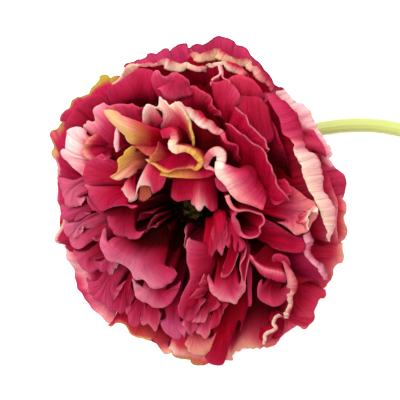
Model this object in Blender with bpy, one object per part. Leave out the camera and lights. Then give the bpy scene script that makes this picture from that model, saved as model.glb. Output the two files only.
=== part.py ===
"""A double poppy bloom, picked with a length of its stem and laid on a table.

The bloom leans on its outermost petals and on the bend of its stem, so its face looks up.
Lengths are in millimetres until a mesh is made, which is in metres. +Z is up and the table is z = 0.
"""

import math
from dataclasses import dataclass

import bmesh
import bpy
import numpy as np
from mathutils import Matrix, Vector

MM = 0.001

# The whole flower
SEAT = np.array((0.5, 0.6, 22.0))       # where the petals' claws meet, above the table
LEAN = 26.5                             # degrees from straight up to the bloom's axis
LEAN_TOWARDS = 230.0                    # degrees round the table, from +X
TALL_SIDE = 75.0                        # degrees round the bloom, where its petals stand widest and tallest
BOX_MIDDLE = np.array((49.4, -0.6, 0))  # of the box that the flower fills, seen from above
JOINT_GAP = 0.3                         # between two pieces that grow against each other

# Petals, and the core that their claws grow from
PETAL_THICK = 0.8
COLUMNS = 7             # facets across a petal
ROWS = (0, 0.35, 0.63, 0.85, 1)     # shares of the way from claw to rim
CORE_FOOT = -3.0
CORE_TOP = 3.0
CORE_PROFILE = ((CORE_FOOT, 5), (-2, 9), (1, 11.5), (4.5, 12), (6.5, 10.8), (6, 9.5), (CORE_TOP, 8))
CLAW_RADIUS = 7.4
TABLE_SOFTNESS = 1.2    # how far above the table a petal starts to bend along it
TABLE_PRESS = 0.4       # how far the bend would go on, so that a petal lies flat there

# Stem, from the core to the cut end, through points above the table
STEM_RADIUS = 2.6
STEM_END_RADIUS = 2.9
NECK_RADIUS = 5.0
NECK_LENGTH = 6.0
STEM_SIDES = 12
STEM_STEP = 5.0
CUT_SLANT = 1.6         # how far one side of the cut end runs past its middle
STEM_ROUTE = (
    (6.5, 7.5, 8.6), (13, 13.4, 4.0), (22, 19.4, 2.7), (35, 25.3, 2.6), (49, 28.4, 2.6),
    (61, 29.6, 2.6), (73, 28.9, 2.6), (90, 24.8, 2.7), (106, 19.5, 2.7), (124, 14, 2.8),
    (143, 9.5, 2.8), (160, 7, 2.9),
)

# Seed capsule and the stamens round it, both on the core
CAPSULE_PROFILE = (
    (0, 1.9), (1.2, 2.6), (3.4, 3.2), (5.8, 3.0), (7.3, 2.2), (7.9, 4.0), (8.5, 4.1), (8.9, 2.2),
)
CAPSULE_PEAK = 9.4
DISC_FROM = 7.6         # height above which the capsule's profile is its ray disc
DISC_RAYS = 10
DISC_SCALLOP = 0.09
COLLAR_INNER = 4.5
COLLAR_OUTER = 5.7
COLLAR_HEIGHT = 1.2
STAMEN_COUNT = 22
STAMEN_LENGTH = 9.0
STAMEN_SPLAY = 13.0     # degrees outward from the bloom's axis
FILAMENT_RADIUS = 0.38
ANTHER_RADIUS = 0.8


@dataclass
class Petal:
    """One petal in the bloom's own axes: angles in degrees, lengths in millimetres."""

    around: float       # where its middle stands round the axis
    reach: float        # from the axis out to its rim
    rise: float         # from the seat up to its rim
    spread: float       # from its middle to its side, round the axis
    leave: float        # how steeply it leaves the core: 0 is outward, 90 is up
    arrive: float       # how steeply it meets its rim: over 90 leans in
    ruffle: float = 2.0     # how far its rim waves to either side
    waves: float = 1.7
    lip: float = 0.0        # how far its rim rolls outward
    seed: int = 0


def whorl(count, first, reach, rise, spread, leave, arrive, seed, wider=0, taller=0, **more):
    """Petals spaced evenly round the axis, each a little different, and larger on the tall side."""
    draw = np.random.default_rng(seed)
    petals = []
    for i in range(count):
        j = draw.uniform(-1, 1, 6)
        around = first + 360 * i / count + 5 * j[0]
        share = math.cos(math.radians(around - TALL_SIDE))
        petals.append(Petal(
            around=around,
            reach=(reach + wider * share) * (1 + 0.04 * j[1]),
            rise=rise + taller * share + 2 * j[2],
            spread=spread * (1 + 0.1 * j[3]),
            leave=leave + 4 * j[4],
            arrive=arrive + 9 * j[5],
            seed=100 * seed + i,
            **more,
        ))
    return petals


def all_petals():
    return (
        whorl(7, 10, 66, 4.5, 34, 0, 0, 1, wider=-1.5, ruffle=1.8)
        + whorl(7, 36, 61, 12, 31, 10, 20, 2, wider=2, taller=3, ruffle=2.2)
        + whorl(7, 0, 55, 21, 28, 20, 40, 3, wider=4, taller=5, ruffle=2.2, lip=3)
        + whorl(7, 22, 48, 29, 28, 32, 55, 4, wider=6, taller=4, ruffle=2, lip=2)
        + whorl(6, 5, 40, 36.5, 31, 42, 65, 5, wider=9, taller=7.5, ruffle=2, lip=2)
        + whorl(5, 30, 31, 36, 36, 54, 80, 6, wider=6, taller=8, ruffle=1.8, waves=1.4, lip=1.5)
        + whorl(4, 0, 20, 32, 42, 64, 95, 7, wider=5, taller=6, ruffle=1.5, waves=1.4)
    )


def bloom_axes():
    """Rows are the bloom's own X, Y and Z, as directions over the table."""
    towards = math.radians(LEAN_TOWARDS)
    hinge = Vector((-math.sin(towards), math.cos(towards), 0))
    return np.array(Matrix.Rotation(math.radians(LEAN), 3, hinge)).T


AXES = bloom_axes()


def over_table(points):
    """Points in the bloom's own axes, as places over the table."""
    return points @ AXES + SEAT


def directions(surface):
    """Unit vectors across a petal, along it, and out of its inner face, at each point."""
    across = np.gradient(surface, axis=1)
    along = np.gradient(surface, np.array(ROWS), axis=0)
    out = np.cross(along, across)
    return [d / (np.linalg.norm(d, axis=-1, keepdims=True) + 1e-9) for d in (across, along, out)]


def petal_surface(petal):
    """The petal's middle surface in the bloom's own axes, as rows of points from claw to rim."""
    phase = np.random.default_rng(petal.seed).uniform(0, 2 * math.pi, 4)
    u, v = np.meshgrid(np.linspace(-1, 1, COLUMNS + 1), ROWS)

    def facing(angle):
        return np.stack((np.cos(angle), np.sin(angle), 0 * angle), -1)

    up = np.array((0, 0, 1.0))
    claw_way = facing(np.radians(petal.around + 0.6 * petal.spread * u))
    rim_way = facing(np.radians(petal.around + petal.spread * u))
    outline = (1 - 0.28 * np.abs(u) ** 2.6) * (1 + 0.03 * np.sin(6.3 * u + phase[0]))
    claw = claw_way * CLAW_RADIUS
    rim = rim_way * (CLAW_RADIUS + (petal.reach - CLAW_RADIUS) * outline)[..., None]
    rim = rim + up * (petal.rise * outline)[..., None]

    chord = 1.1 * np.linalg.norm(rim - claw, axis=-1, keepdims=True)
    leave, arrive = math.radians(petal.leave), math.radians(petal.arrive)
    setting_out = (claw_way * math.cos(leave) + up * math.sin(leave)) * chord
    coming_in = (rim_way * math.cos(arrive) + up * math.sin(arrive)) * chord
    t = v[..., None]
    surface = (
        (2 * t**3 - 3 * t**2 + 1) * claw
        + (t**3 - 2 * t**2 + t) * setting_out
        + (3 * t**2 - 2 * t**3) * rim
        + (t**3 - t**2) * coming_in
    )

    across, along, out = directions(surface)
    wave = np.sin(math.pi * petal.waves * u + phase[1]) * (0.8 + 0.2 * np.sin(1.7 * u + phase[2]))
    surface = surface + out * (petal.ruffle * v**2.6 * wave)[..., None]

    if petal.lip:
        across, along, out = directions(surface)
        roll = np.clip((v - 0.74) / 0.26, 0, 1) * (0.75 + 0.25 * np.sin(2.6 * u + phase[3]))
        surface = surface - out * (petal.lip * roll**2)[..., None]
        surface = surface - along * (0.55 * petal.lip * roll**3)[..., None]
    return surface


def laid(points, lowest):
    """Points over the table, with what would go under it bent along it."""
    height = (points[..., 2] - lowest) / TABLE_SOFTNESS
    bent = points.copy()
    bent[..., 2] = lowest + np.maximum(0, TABLE_SOFTNESS * np.logaddexp(0, height) - TABLE_PRESS)
    return bent


def new_object(name, bm, material):
    """An object from a bmesh in millimetres, whose mesh is in metres."""
    bmesh.ops.scale(bm, vec=(MM, MM, MM), verts=bm.verts)
    if bm.calc_volume(signed=True) < 0:
        bmesh.ops.reverse_faces(bm, faces=bm.faces)
    mesh = bpy.data.meshes.new(name)
    bm.to_mesh(mesh)
    bm.free()
    mesh.materials.append(material)
    made = bpy.data.objects.new(name, mesh)
    bpy.context.scene.collection.objects.link(made)
    return made


def finish(name, colour, roughness):
    material = bpy.data.materials.new(name)
    material.use_nodes = True
    shader = material.node_tree.nodes["Principled BSDF"]
    shader.inputs["Base Color"].default_value = (*colour, 1)
    shader.inputs["Roughness"].default_value = roughness
    shader.inputs["Metallic"].default_value = 0
    return material


def petal_blade(petal, name, material):
    """A closed thin blade, with both faces split into triangles alike."""
    middle = laid(over_table(petal_surface(petal)), PETAL_THICK / 2)
    _, _, out = directions(middle)
    bm = bmesh.new()
    faces = []
    for side in (0.5, -0.5):
        points = middle + side * PETAL_THICK * out
        points[..., 2] = np.maximum(points[..., 2], (side + 0.5) * PETAL_THICK)
        faces.append([[bm.verts.new(p) for p in row] for row in points])
    inner, outer = faces
    last = len(ROWS) - 1
    for i in range(last):
        for j in range(COLUMNS):
            for sheet, order in ((inner, 1), (outer, -1)):
                a, b, c, d = sheet[i][j], sheet[i][j + 1], sheet[i + 1][j + 1], sheet[i + 1][j]
                bm.faces.new((a, b, c)[::order])
                bm.faces.new((a, c, d)[::order])
    edge = [(0, j) for j in range(COLUMNS)] + [(i, COLUMNS) for i in range(last)]
    edge += [(last, j) for j in range(COLUMNS, 0, -1)] + [(i, 0) for i in range(last, 0, -1)]
    for (i, j), (k, m) in zip(edge, edge[1:] + edge[:1]):
        bm.faces.new((inner[k][m], inner[i][j], outer[k][m]))
        bm.faces.new((outer[k][m], inner[i][j], outer[i][j]))
    return new_object(name, bm, material)


def turned(name, profile, peak, sides, material, ripple=None):
    """A solid turned about the bloom's axis, from (height, radius) rings up to a peak."""
    bm = bmesh.new()
    rings = []
    for height, radius in profile:
        ring = []
        for k in range(sides):
            angle = 2 * math.pi * k / sides
            wide = radius * (ripple(height, angle) if ripple else 1)
            place = np.array((wide * math.cos(angle), wide * math.sin(angle), height))
            ring.append(bm.verts.new(over_table(place)))
        rings.append(ring)
    for low, high in zip(rings, rings[1:]):
        for k in range(sides):
            n = (k + 1) % sides
            bm.faces.new((low[k], low[n], high[n], high[k])).smooth = True
    bm.faces.new(rings[0][::-1])
    if peak is None:
        bm.faces.new(rings[-1])
    else:
        top = bm.verts.new(over_table(np.array((0, 0, peak))))
        for k in range(sides):
            bm.faces.new((rings[-1][k], rings[-1][(k + 1) % sides], top)).smooth = True
    return new_object(name, bm, material)


def fill_pockets(mesh):
    """Keeps the outer skin only, so that a sealed pocket between petals is solid."""
    bm = bmesh.new()
    bm.from_mesh(mesh)
    waiting = set(bm.faces)
    skins = []
    while waiting:
        reached = [waiting.pop()]
        skin = []
        while reached:
            face = reached.pop()
            skin.append(face)
            for edge in face.edges:
                for other in edge.link_faces:
                    if other in waiting:
                        waiting.remove(other)
                        reached.append(other)
        skins.append(skin)
    skins.sort(key=len)
    inner = [face for skin in skins[:-1] for face in skin]
    bmesh.ops.delete(bm, geom=inner, context="FACES")
    bm.to_mesh(mesh)
    bm.free()


def join(body, others, solver):
    """Unites the others with the body and removes them."""
    group = bpy.data.collections.new(body.name + "_repeats")
    for other in others:
        group.objects.link(other)
    union = body.modifiers.new("join", "BOOLEAN")
    union.operation = "UNION"
    union.operand_type = "COLLECTION"
    union.collection = group
    union.solver = solver
    graph = bpy.context.evaluated_depsgraph_get()
    mesh = bpy.data.meshes.new_from_object(body.evaluated_get(graph))
    body.modifiers.clear()
    fill_pockets(mesh)
    body.data = mesh
    for other in others:
        bpy.data.objects.remove(other)
    bpy.data.collections.remove(group)


def make_petals(material):
    core = turned("petals", CORE_PROFILE, None, 24, material)
    blades = [petal_blade(p, f"petal_{i}", material) for i, p in enumerate(all_petals())]
    join(core, blades, "MANIFOLD")
    return core


def make_capsule(material):
    def ripple(height, angle):
        return 1 + (DISC_SCALLOP * math.cos(DISC_RAYS * angle) if height > base + DISC_FROM else 0)

    base = CORE_TOP + JOINT_GAP
    profile = [(base + height, radius) for height, radius in CAPSULE_PROFILE]
    return turned("capsule", profile, base + CAPSULE_PEAK, 2 * DISC_RAYS, material, ripple)


def stamen(k, base, material):
    """One filament with its anther, leaning out from the collar."""
    angle = 2 * math.pi * k / STAMEN_COUNT
    length = STAMEN_LENGTH * (0.9 + 0.1 * math.sin(2.4 * k))
    splay = math.radians(STAMEN_SPLAY + 3 * math.sin(1.7 * k))
    middle = (COLLAR_INNER + COLLAR_OUTER) / 2
    lean = np.array((math.cos(angle) * math.sin(splay), math.sin(angle) * math.sin(splay), math.cos(splay)))
    side = np.array((-math.sin(angle), math.cos(angle), 0))
    out = np.cross(side, lean)
    foot = np.array((middle * math.cos(angle), middle * math.sin(angle), base + 0.3 * COLLAR_HEIGHT))
    stations = (
        (0, FILAMENT_RADIUS), (0.84, 0.8 * FILAMENT_RADIUS), (0.9, ANTHER_RADIUS),
        (1.02, 0.9 * ANTHER_RADIUS), (1.08, 0.3 * ANTHER_RADIUS),
    )
    bm = bmesh.new()
    rings = []
    for share, radius in stations:
        centre = foot + lean * length * share
        spokes = [side * math.cos(a) + out * math.sin(a) for a in np.radians((45, 135, 225, 315))]
        rings.append([bm.verts.new(over_table(centre + radius * spoke)) for spoke in spokes])
    for low, high in zip(rings, rings[1:]):
        for k in range(4):
            bm.faces.new((low[k], low[(k + 1) % 4], high[(k + 1) % 4], high[k]))
    bm.faces.new(rings[0][::-1])
    bm.faces.new(rings[-1])
    return new_object(f"stamen_{k}", bm, material)


def make_stamens(material):
    """A ring of stamens, joined at their feet by a low collar round the capsule."""
    base = CORE_TOP + JOINT_GAP
    bm = bmesh.new()
    sides = 24
    top = base + COLLAR_HEIGHT
    corners = ((COLLAR_INNER, base), (COLLAR_OUTER, base), (COLLAR_OUTER, top), (COLLAR_INNER, top))
    rings = []
    for k in range(sides):
        angle = 2 * math.pi * k / sides
        places = [np.array((r * math.cos(angle), r * math.sin(angle), h)) for r, h in corners]
        rings.append([bm.verts.new(over_table(p)) for p in places])
    for k in range(sides):
        this, after = rings[k], rings[(k + 1) % sides]
        for c in range(4):
            bm.faces.new((this[c], after[c], after[(c + 1) % 4], this[(c + 1) % 4]))
    collar = new_object("stamens", bm, material)
    join(collar, [stamen(k, base, material) for k in range(STAMEN_COUNT)], "MANIFOLD")
    return collar


def smooth_route(points, step):
    """Points about a step apart on a smooth curve through the given ones."""
    points = [np.array(p, float) for p in points]
    points = [2 * points[0] - points[1], *points, 2 * points[-1] - points[-2]]
    route = []
    for a, b, c, d in zip(points, points[1:], points[2:], points[3:]):
        square = 2 * a - 5 * b + 4 * c - d
        cube = 3 * b - a - 3 * c + d
        count = max(2, round(np.linalg.norm(c - b) / step))
        for t in np.arange(count) / count:
            route.append(b + 0.5 * ((c - a) * t + square * t**2 + cube * t**3))
    return [*route, points[-2]]


def make_stem(material):
    """The stem, widened into a neck under the core and cut at a slant at its far end."""
    top = over_table(np.array((0, 0, CORE_FOOT - JOINT_GAP)))
    neck = over_table(np.array((0, 0, CORE_FOOT - JOINT_GAP - NECK_LENGTH)))
    route = np.array(smooth_route([top, neck, *STEM_ROUTE], STEM_STEP))
    way = np.gradient(route, axis=0)
    way[0] = top - neck if way[0] @ (top - neck) > 0 else neck - top
    way /= np.linalg.norm(way, axis=1, keepdims=True)
    gone = np.concatenate(([0], np.cumsum(np.linalg.norm(np.diff(route, axis=0), axis=1))))
    bm = bmesh.new()
    rings = []
    for place, forward, length in zip(route, way, gone):
        side = np.cross(forward, (0, 0, 1))
        side /= np.linalg.norm(side)
        rise = np.cross(side, forward)
        radius = STEM_RADIUS + (STEM_END_RADIUS - STEM_RADIUS) * length / gone[-1]
        radius += (NECK_RADIUS - STEM_RADIUS) * math.exp(-((1.6 * length / NECK_LENGTH) ** 2))
        slant = CUT_SLANT if length == gone[-1] else 0
        place = np.maximum(place, (-math.inf, -math.inf, radius))
        ring = []
        for k in range(STEM_SIDES):
            angle = 2 * math.pi * k / STEM_SIDES
            spoke = radius * (side * math.cos(angle) + rise * math.sin(angle))
            ring.append(bm.verts.new(place + spoke + forward * slant * math.cos(angle)))
        rings.append(ring)
    for low, high in zip(rings, rings[1:]):
        for k in range(STEM_SIDES):
            n = (k + 1) % STEM_SIDES
            bm.faces.new((low[k], low[n], high[n], high[k])).smooth = True
    bm.faces.new(rings[0][::-1])
    bm.faces.new(rings[-1])
    return new_object("stem", bm, material)


def main():
    for old in list(bpy.data.objects):
        bpy.data.objects.remove(old)
    pieces = [
        make_petals(finish("petal", (0.48, 0.03, 0.08), 0.6)),
        make_capsule(finish("capsule", (0.16, 0.17, 0.03), 0.6)),
        make_stamens(finish("stamen", (0.03, 0.012, 0.012), 0.7)),
        make_stem(finish("stem", (0.5, 0.53, 0.16), 0.45)),
    ]
    flower = bpy.data.objects.new("poppy", None)
    bpy.context.scene.collection.objects.link(flower)
    flower.location = Vector(-BOX_MIDDLE * MM)
    for piece in pieces:
        piece.parent = flower


main()
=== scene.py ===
"""A double poppy lying on a pale table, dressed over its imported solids.

The bloom's petals are closed thin sheets, each grown from the receptacle to a rim of its own.
Lengths are in millimetres until a mesh is made, which is in metres.
"""

import math

import bpy
import numpy as np
from mathutils import Matrix, Vector


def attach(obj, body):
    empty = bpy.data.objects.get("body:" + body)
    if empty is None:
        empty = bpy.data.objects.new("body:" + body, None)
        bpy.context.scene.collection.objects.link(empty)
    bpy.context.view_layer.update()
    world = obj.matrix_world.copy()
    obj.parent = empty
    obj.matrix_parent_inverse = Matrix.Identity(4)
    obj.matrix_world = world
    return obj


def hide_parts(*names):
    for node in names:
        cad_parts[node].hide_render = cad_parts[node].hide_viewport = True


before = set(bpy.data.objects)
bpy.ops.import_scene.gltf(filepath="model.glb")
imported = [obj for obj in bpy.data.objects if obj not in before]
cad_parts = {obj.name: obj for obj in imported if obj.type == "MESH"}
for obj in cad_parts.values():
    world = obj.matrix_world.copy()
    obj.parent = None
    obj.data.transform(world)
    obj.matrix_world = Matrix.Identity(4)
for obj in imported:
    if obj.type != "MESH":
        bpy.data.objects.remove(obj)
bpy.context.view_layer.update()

MM = 0.001

# The view, straight down at the table
CAMERA_HEIGHT = 900.0
BLOOM_HEIGHT = 35.0
PICTURE_SIDE = 400          # picture points
PICTURE_POINT = 0.38        # what one covers at BLOOM_HEIGHT

# The bloom's own frame: its seat on the stem, and an axis that leans from the upright
BOX_MIDDLE = np.array((49.4, -0.6, 0))      # of the solids' box, which the frame has over its origin
SEAT = np.array((0.5, 0.6, 22.0))
LEAN = 26.5
LEAN_TOWARDS = 230.0
UP = np.array((0, 0, 1.0))

# The receptacle that the petals grow on, as (height, radius) up the bloom's axis
RECEPTACLE_PROFILE = ((-3, 5), (-2, 9), (1, 11.5), (4.5, 12), (6.5, 10.8), (6, 9.5), (3, 8))
CLAW_RADIUS = 7.4           # a claw is the narrow foot of a petal
CLAW_HEIGHT = 0.5
CLAW_SPREAD = 1.4           # half of the widest claw, in radians
CLAW_FAN = 1.3              # how much wider than its claw a petal sets out

# What every petal shares
THICK = 0.3
ROWS = 27                   # of mesh places from claw to rim
ROWS_CROWD = 1.2            # above 1 they lie closer together at the rim
FOLD_LENGTHS = (22, 17, 13, 9, 7, 5.5)
FOLD_HEIGHT = 1 / 35        # of a fold's length
RIB_STEP = 3.2
RIM_TURN = (0.15, 0.32, 0.5, 0.67, 0.84, 1)     # rows of a turned rim, as shares of its width
TABLE_SOFTNESS = 1.2        # a petal that meets the table bends over about this height


def bloom_axes():
    """The bloom's three axes in the table's frame, the last of them the one that it grows round."""
    towards = math.radians(LEAN_TOWARDS)
    hinge = Vector((-math.sin(towards), math.cos(towards), 0))
    return np.array(Matrix.Rotation(math.radians(LEAN), 3, hinge)).T


AXES = bloom_axes()


def over_table(places):
    return places @ AXES + SEAT


def in_bloom(places):
    return (places - SEAT) @ AXES.T


def seen_at(right, down, rise):
    """The place that the camera sees at a picture point, this far up the bloom's axis from the seat."""
    slope = PICTURE_POINT / (CAMERA_HEIGHT - BLOOM_HEIGHT)
    ray = np.array(((right - PICTURE_SIDE / 2) * slope, (PICTURE_SIDE / 2 - down) * slope, 0))
    axis = AXES[2]
    height = (rise + SEAT @ axis - CAMERA_HEIGHT * ray @ axis) / (axis[2] - ray @ axis)
    return ray * (CAMERA_HEIGHT - height) + (0, 0, height)


def facing(angle):
    """The direction outward from the bloom's axis at each angle round it."""
    return np.stack((np.cos(angle), np.sin(angle), 0 * angle), -1)


def unit(vectors):
    return vectors / (np.linalg.norm(vectors, axis=-1, keepdims=True) + 1e-9)


def normals(surface):
    return unit(np.cross(np.gradient(surface, axis=0), np.gradient(surface, axis=1)))


def gaps(places):
    """The distance from each place to the next."""
    return np.linalg.norm(np.diff(places, axis=0), axis=-1)


def smooth_through(places, steps, shares, first_slope=None, last_slope=None):
    """What lies at these shares of a smooth curve through the places, and the shares of the places.

    The places are these steps apart. A place may also be a whole line, and then the curve is a sheet.
    """
    marks = np.concatenate(([0], np.cumsum(steps)))
    slopes = np.gradient(places, marks, axis=0)
    if first_slope is not None:
        slopes[0] = first_slope
    if last_slope is not None:
        slopes[-1] = last_slope
    gone = shares * marks[-1]
    before = np.clip(np.searchsorted(marks, gone, side="right") - 1, 0, len(steps) - 1)
    alike = (-1,) + (1,) * (places.ndim - 1)
    step = steps[before].reshape(alike)
    part = ((gone - marks[before]) / steps[before]).reshape(alike)
    curve = (
        (2 * part**3 - 3 * part**2 + 1) * places[before]
        + (part**3 - 2 * part**2 + part) * step * slopes[before]
        + (3 * part**2 - 2 * part**3) * places[before + 1]
        + (part**3 - part**2) * step * slopes[before + 1]
    )
    return curve, marks / marks[-1]


def smooth_line(points, count):
    """Evenly spaced places on a smooth curve through the points."""
    points = np.array(points, float)
    steps = np.sqrt(np.maximum(gaps(points), 0.05))
    dense, _ = smooth_through(points, steps, np.linspace(0, 1, 400))
    gone = np.concatenate(([0], np.cumsum(gaps(dense))))
    wanted = np.linspace(0, gone[-1], count)
    return np.stack([np.interp(wanted, gone, part) for part in dense.T], -1)


def calm_line(line, reach):
    """The line with its wiggles evened out over this many places, and its ends kept."""
    if reach < 0.5:
        return line
    wide = int(3 * reach)
    before = 2 * line[0] - line[1:wide + 1][::-1]
    after = 2 * line[-1] - line[-wide - 1:-1][::-1]
    longer = np.concatenate((before, line, after))
    weight = np.exp(-0.5 * (np.arange(-wide, wide + 1) / reach) ** 2)
    weight /= weight.sum()
    return np.stack([np.convolve(part, weight, "valid") for part in longer.T], -1)[:len(line)]


def spread_along(value, count):
    """A single value, or several along a rim, at every column of a petal."""
    value = np.atleast_1d(np.array(value, float))
    return np.interp(np.linspace(0, 1, count), np.linspace(0, 1, len(value)), value)


def spread_over(value, marks, shares, count):
    """A value for every place of a petal: one, a tuple along its rim, or a list with one for each line."""
    if not isinstance(value, list):
        return spread_along(value, count) + np.zeros((len(shares), 1))
    lines = np.stack([spread_along(line, count) for line in value])
    marks = marks[-len(lines):] if len(marks) >= len(lines) else np.linspace(0, 1, len(lines))
    return np.stack([np.interp(shares, marks, column) for column in lines.T], -1)


def wrinkled(surface, shares, across, draw, phase, waves, ruffle, fold, crumple, ribs):
    """How far each place of a petal stands off its smooth sheet: a ruffled rim, a pleat, creases and ribs."""
    along = shares[:, None]
    # uneven factors keep the waves out of step with one another
    turn = math.pi * waves * (across + 0.10 * np.sin(2.3 * across + phase[0])) + phase[1]
    wave = np.sin(turn) + 0.5 * np.sin(1.83 * turn + phase[2] + 2.0 * along)
    wave = wave + 0.25 * np.sin(3.7 * turn + phase[3])
    ruffled = ruffle * along**4 * (0.6 + 0.4 * np.sin(1.7 * across + phase[4])) * wave
    pleat = fold * np.sin(1.3 * math.pi * across + phase[5] + 0.8 * along) * np.sin(math.pi * along**1.3)
    wide = np.linalg.norm(np.gradient(surface, axis=1), axis=-1).cumsum(axis=1)
    wide = wide - wide.mean(axis=1, keepdims=True)
    long = np.linalg.norm(np.gradient(surface, axis=0), axis=-1).cumsum(axis=0)
    creases = 0
    for length in FOLD_LENGTHS:
        way = draw.uniform(-0.7, 0.7)
        folds = (wide * math.cos(way) + long * math.sin(way)) / length
        turn = 2 * math.pi * folds + draw.uniform(0, 2 * math.pi)
        creases = creases + length * FOLD_HEIGHT * np.sin(turn + 0.8 * np.sin(0.37 * turn))
    turn = 2 * math.pi * wide[-1:] / RIB_STEP
    ribbed = ribs * along**2.3 * np.sin(turn + 1.1 * np.sin(0.29 * turn + phase[7]))
    return ruffled + pleat + crumple * creases * along**1.5 + ribbed


def turned_rim(rim, roll):
    """The rows of a rim that turns over by this much, to the right of the way in which its line runs.

    It falls slowly at first and then faster, to a little over half of its width.
    """
    skyward = AXES[:, 2]
    over = spread_along(roll, len(rim))[:, None]
    beside = unit(np.cross(np.gradient(calm_line(rim, 1), axis=0), skyward)) * over
    down = -skyward * abs(over)
    return [rim + beside * share + down * (0.1 * share + 0.45 * share**2) for share in RIM_TURN]


def petal_sheet(lines, claw, leave, arrive=None, pull=1.1, width=0.5, waves=2.5, ruffle=0.7, fold=0.8,
                crumple=1.0, ribs=0.0, calm=0.02, tuck=3.0, columns=48, roll=0.0, seed=0):
    """The middle surface of a petal over the table, and the shares of its length that rows and lines lie at.

    lines: places over the table, the last line being the rim
    claw: the angle round the bloom's axis that the petal grows at
    leave, arrive: its slope at the claw and at the rim, where 0 is outward, 90 is up the axis and 180 is
        inward; with None it arrives as its lines lead
    pull: how strongly it keeps to those slopes
    width: how wide the claw is, as a share of the turn that the rim makes round the axis
    waves, ruffle: how many waves its rim has, and their height
    fold, crumple, ribs: the height of its one wide pleat, of its creases as a share of the usual, and of ribs
    calm: the share of a line's length over which its wiggles are evened out away from the rim
    tuck: how far its sides slip down, under their neighbours
    roll: how far its rim turns over, as one width or several along it
    columns: how many mesh faces lie across it, more where its rim is finer
    """
    draw = np.random.default_rng(seed)
    phase = draw.uniform(0, 2 * math.pi, 10)
    lines = [in_bloom(smooth_line(line, columns + 1)) for line in lines]
    rim = lines[-1]
    lines = [calm_line(line, calm * columns) for line in lines]
    across = np.linspace(-1, 1, columns + 1)
    around = math.radians(claw)
    offset = np.angle(np.exp(1j * (np.arctan2(rim[:, 1], rim[:, 0]) - around)))
    sense = 1 if offset[-1] >= offset[0] else -1
    half = width * min(abs(offset[-1] - offset[0]) / 2, CLAW_SPREAD)
    foot = facing(around + sense * half * across) * CLAW_RADIUS + UP * CLAW_HEIGHT
    ahead = facing(around + sense * half * across * CLAW_FAN)

    def aimed(angle):
        angle = np.radians(angle)
        return (ahead * np.cos(angle) + UP * np.sin(angle)) * pull

    places = np.stack([foot] + lines)
    lengths = gaps(places)
    steps = lengths.mean(axis=1)
    first_slope = aimed(leave) * (lengths[0] / steps[0])[:, None]
    last_slope = None if arrive is None else aimed(arrive) * (lengths[-1] / steps[-1])[:, None]
    shares = 1 - (1 - np.linspace(0, 1, ROWS)) ** ROWS_CROWD
    surface, marks = smooth_through(places, steps, shares, first_slope, last_slope)
    surface = surface + (rim - lines[-1]) * shares[:, None, None] ** 3
    relief = wrinkled(surface, shares, across[None, :], draw, phase, waves, ruffle, fold, crumple, ribs)
    surface = surface + normals(surface) * sense * relief[..., None]
    if np.any(roll):
        surface = np.concatenate((surface, turned_rim(surface[-1], roll)))
        shares = np.concatenate((shares, np.ones(len(RIM_TURN))))
    surface = over_table(surface)
    # the sides slip under their neighbours
    slip = np.clip((abs(across) - 0.75) / 0.25, 0, 1) ** 2
    surface[..., 2] -= tuck * slip * shares[:, None]
    return surface, shares, marks


def laid(places, lowest):
    """The places kept above this height, bent softly where they would pass below it."""
    height = (places[..., 2] - lowest) / TABLE_SOFTNESS
    bent = places.copy()
    bent[..., 2] = lowest + TABLE_SOFTNESS * np.logaddexp(0, height)
    return bent


def petal(name, rim, inner=(), pale=0.0, gold=0.0, mauve=0.0, dark=0.0, band=99, seen=True, **shape):
    """What a petal is made from: its lines over the table, its shape, its tints and their band.

    rim, inner: the rim and the lines that lead to it, each of places (right, down, rise) with a picture
        point and a rise up the bloom's axis; where it isn't seen they are places over the table
    pale, gold, mauve, dark: tints from 0 to 1, each one number, a tuple along the rim, or a list that has
        one of either for each of the last lines; below 0, pale is a dark rim and gold is an olive one;
        dark is painted shade, and pale is partly the rim's own paler colour and partly painted light
    band: how far in from the rim pale and gold reach, as one width or several along it; 99 is all over
    """
    lines = [*inner, rim]
    if seen:
        lines = [[seen_at(*place) for place in line] for line in lines]
    tints = (pale, gold, mauve, dark)
    return dict(name=name, lines=lines, tints=tints, band=band, shape=shape)


def under_petals(count, first, reach, rise, half, leave, arrive):
    """Petals spaced evenly round the bloom that stay under the ones seen."""
    made = []
    across = np.linspace(-1, 1, 9)
    for number in range(count):
        around = first + 360 * number / count
        out = reach * (1 - 0.16 * across**2)
        rim = facing(np.radians(around + half * across)) * out[:, None] + UP * rise
        made.append(petal(f"under_{reach}_{number}", over_table(rim), claw=around, leave=leave, arrive=arrive,
                          calm=0.12, columns=32, band=2, pale=0.2, mauve=0.4, seen=False))
    return made
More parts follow.
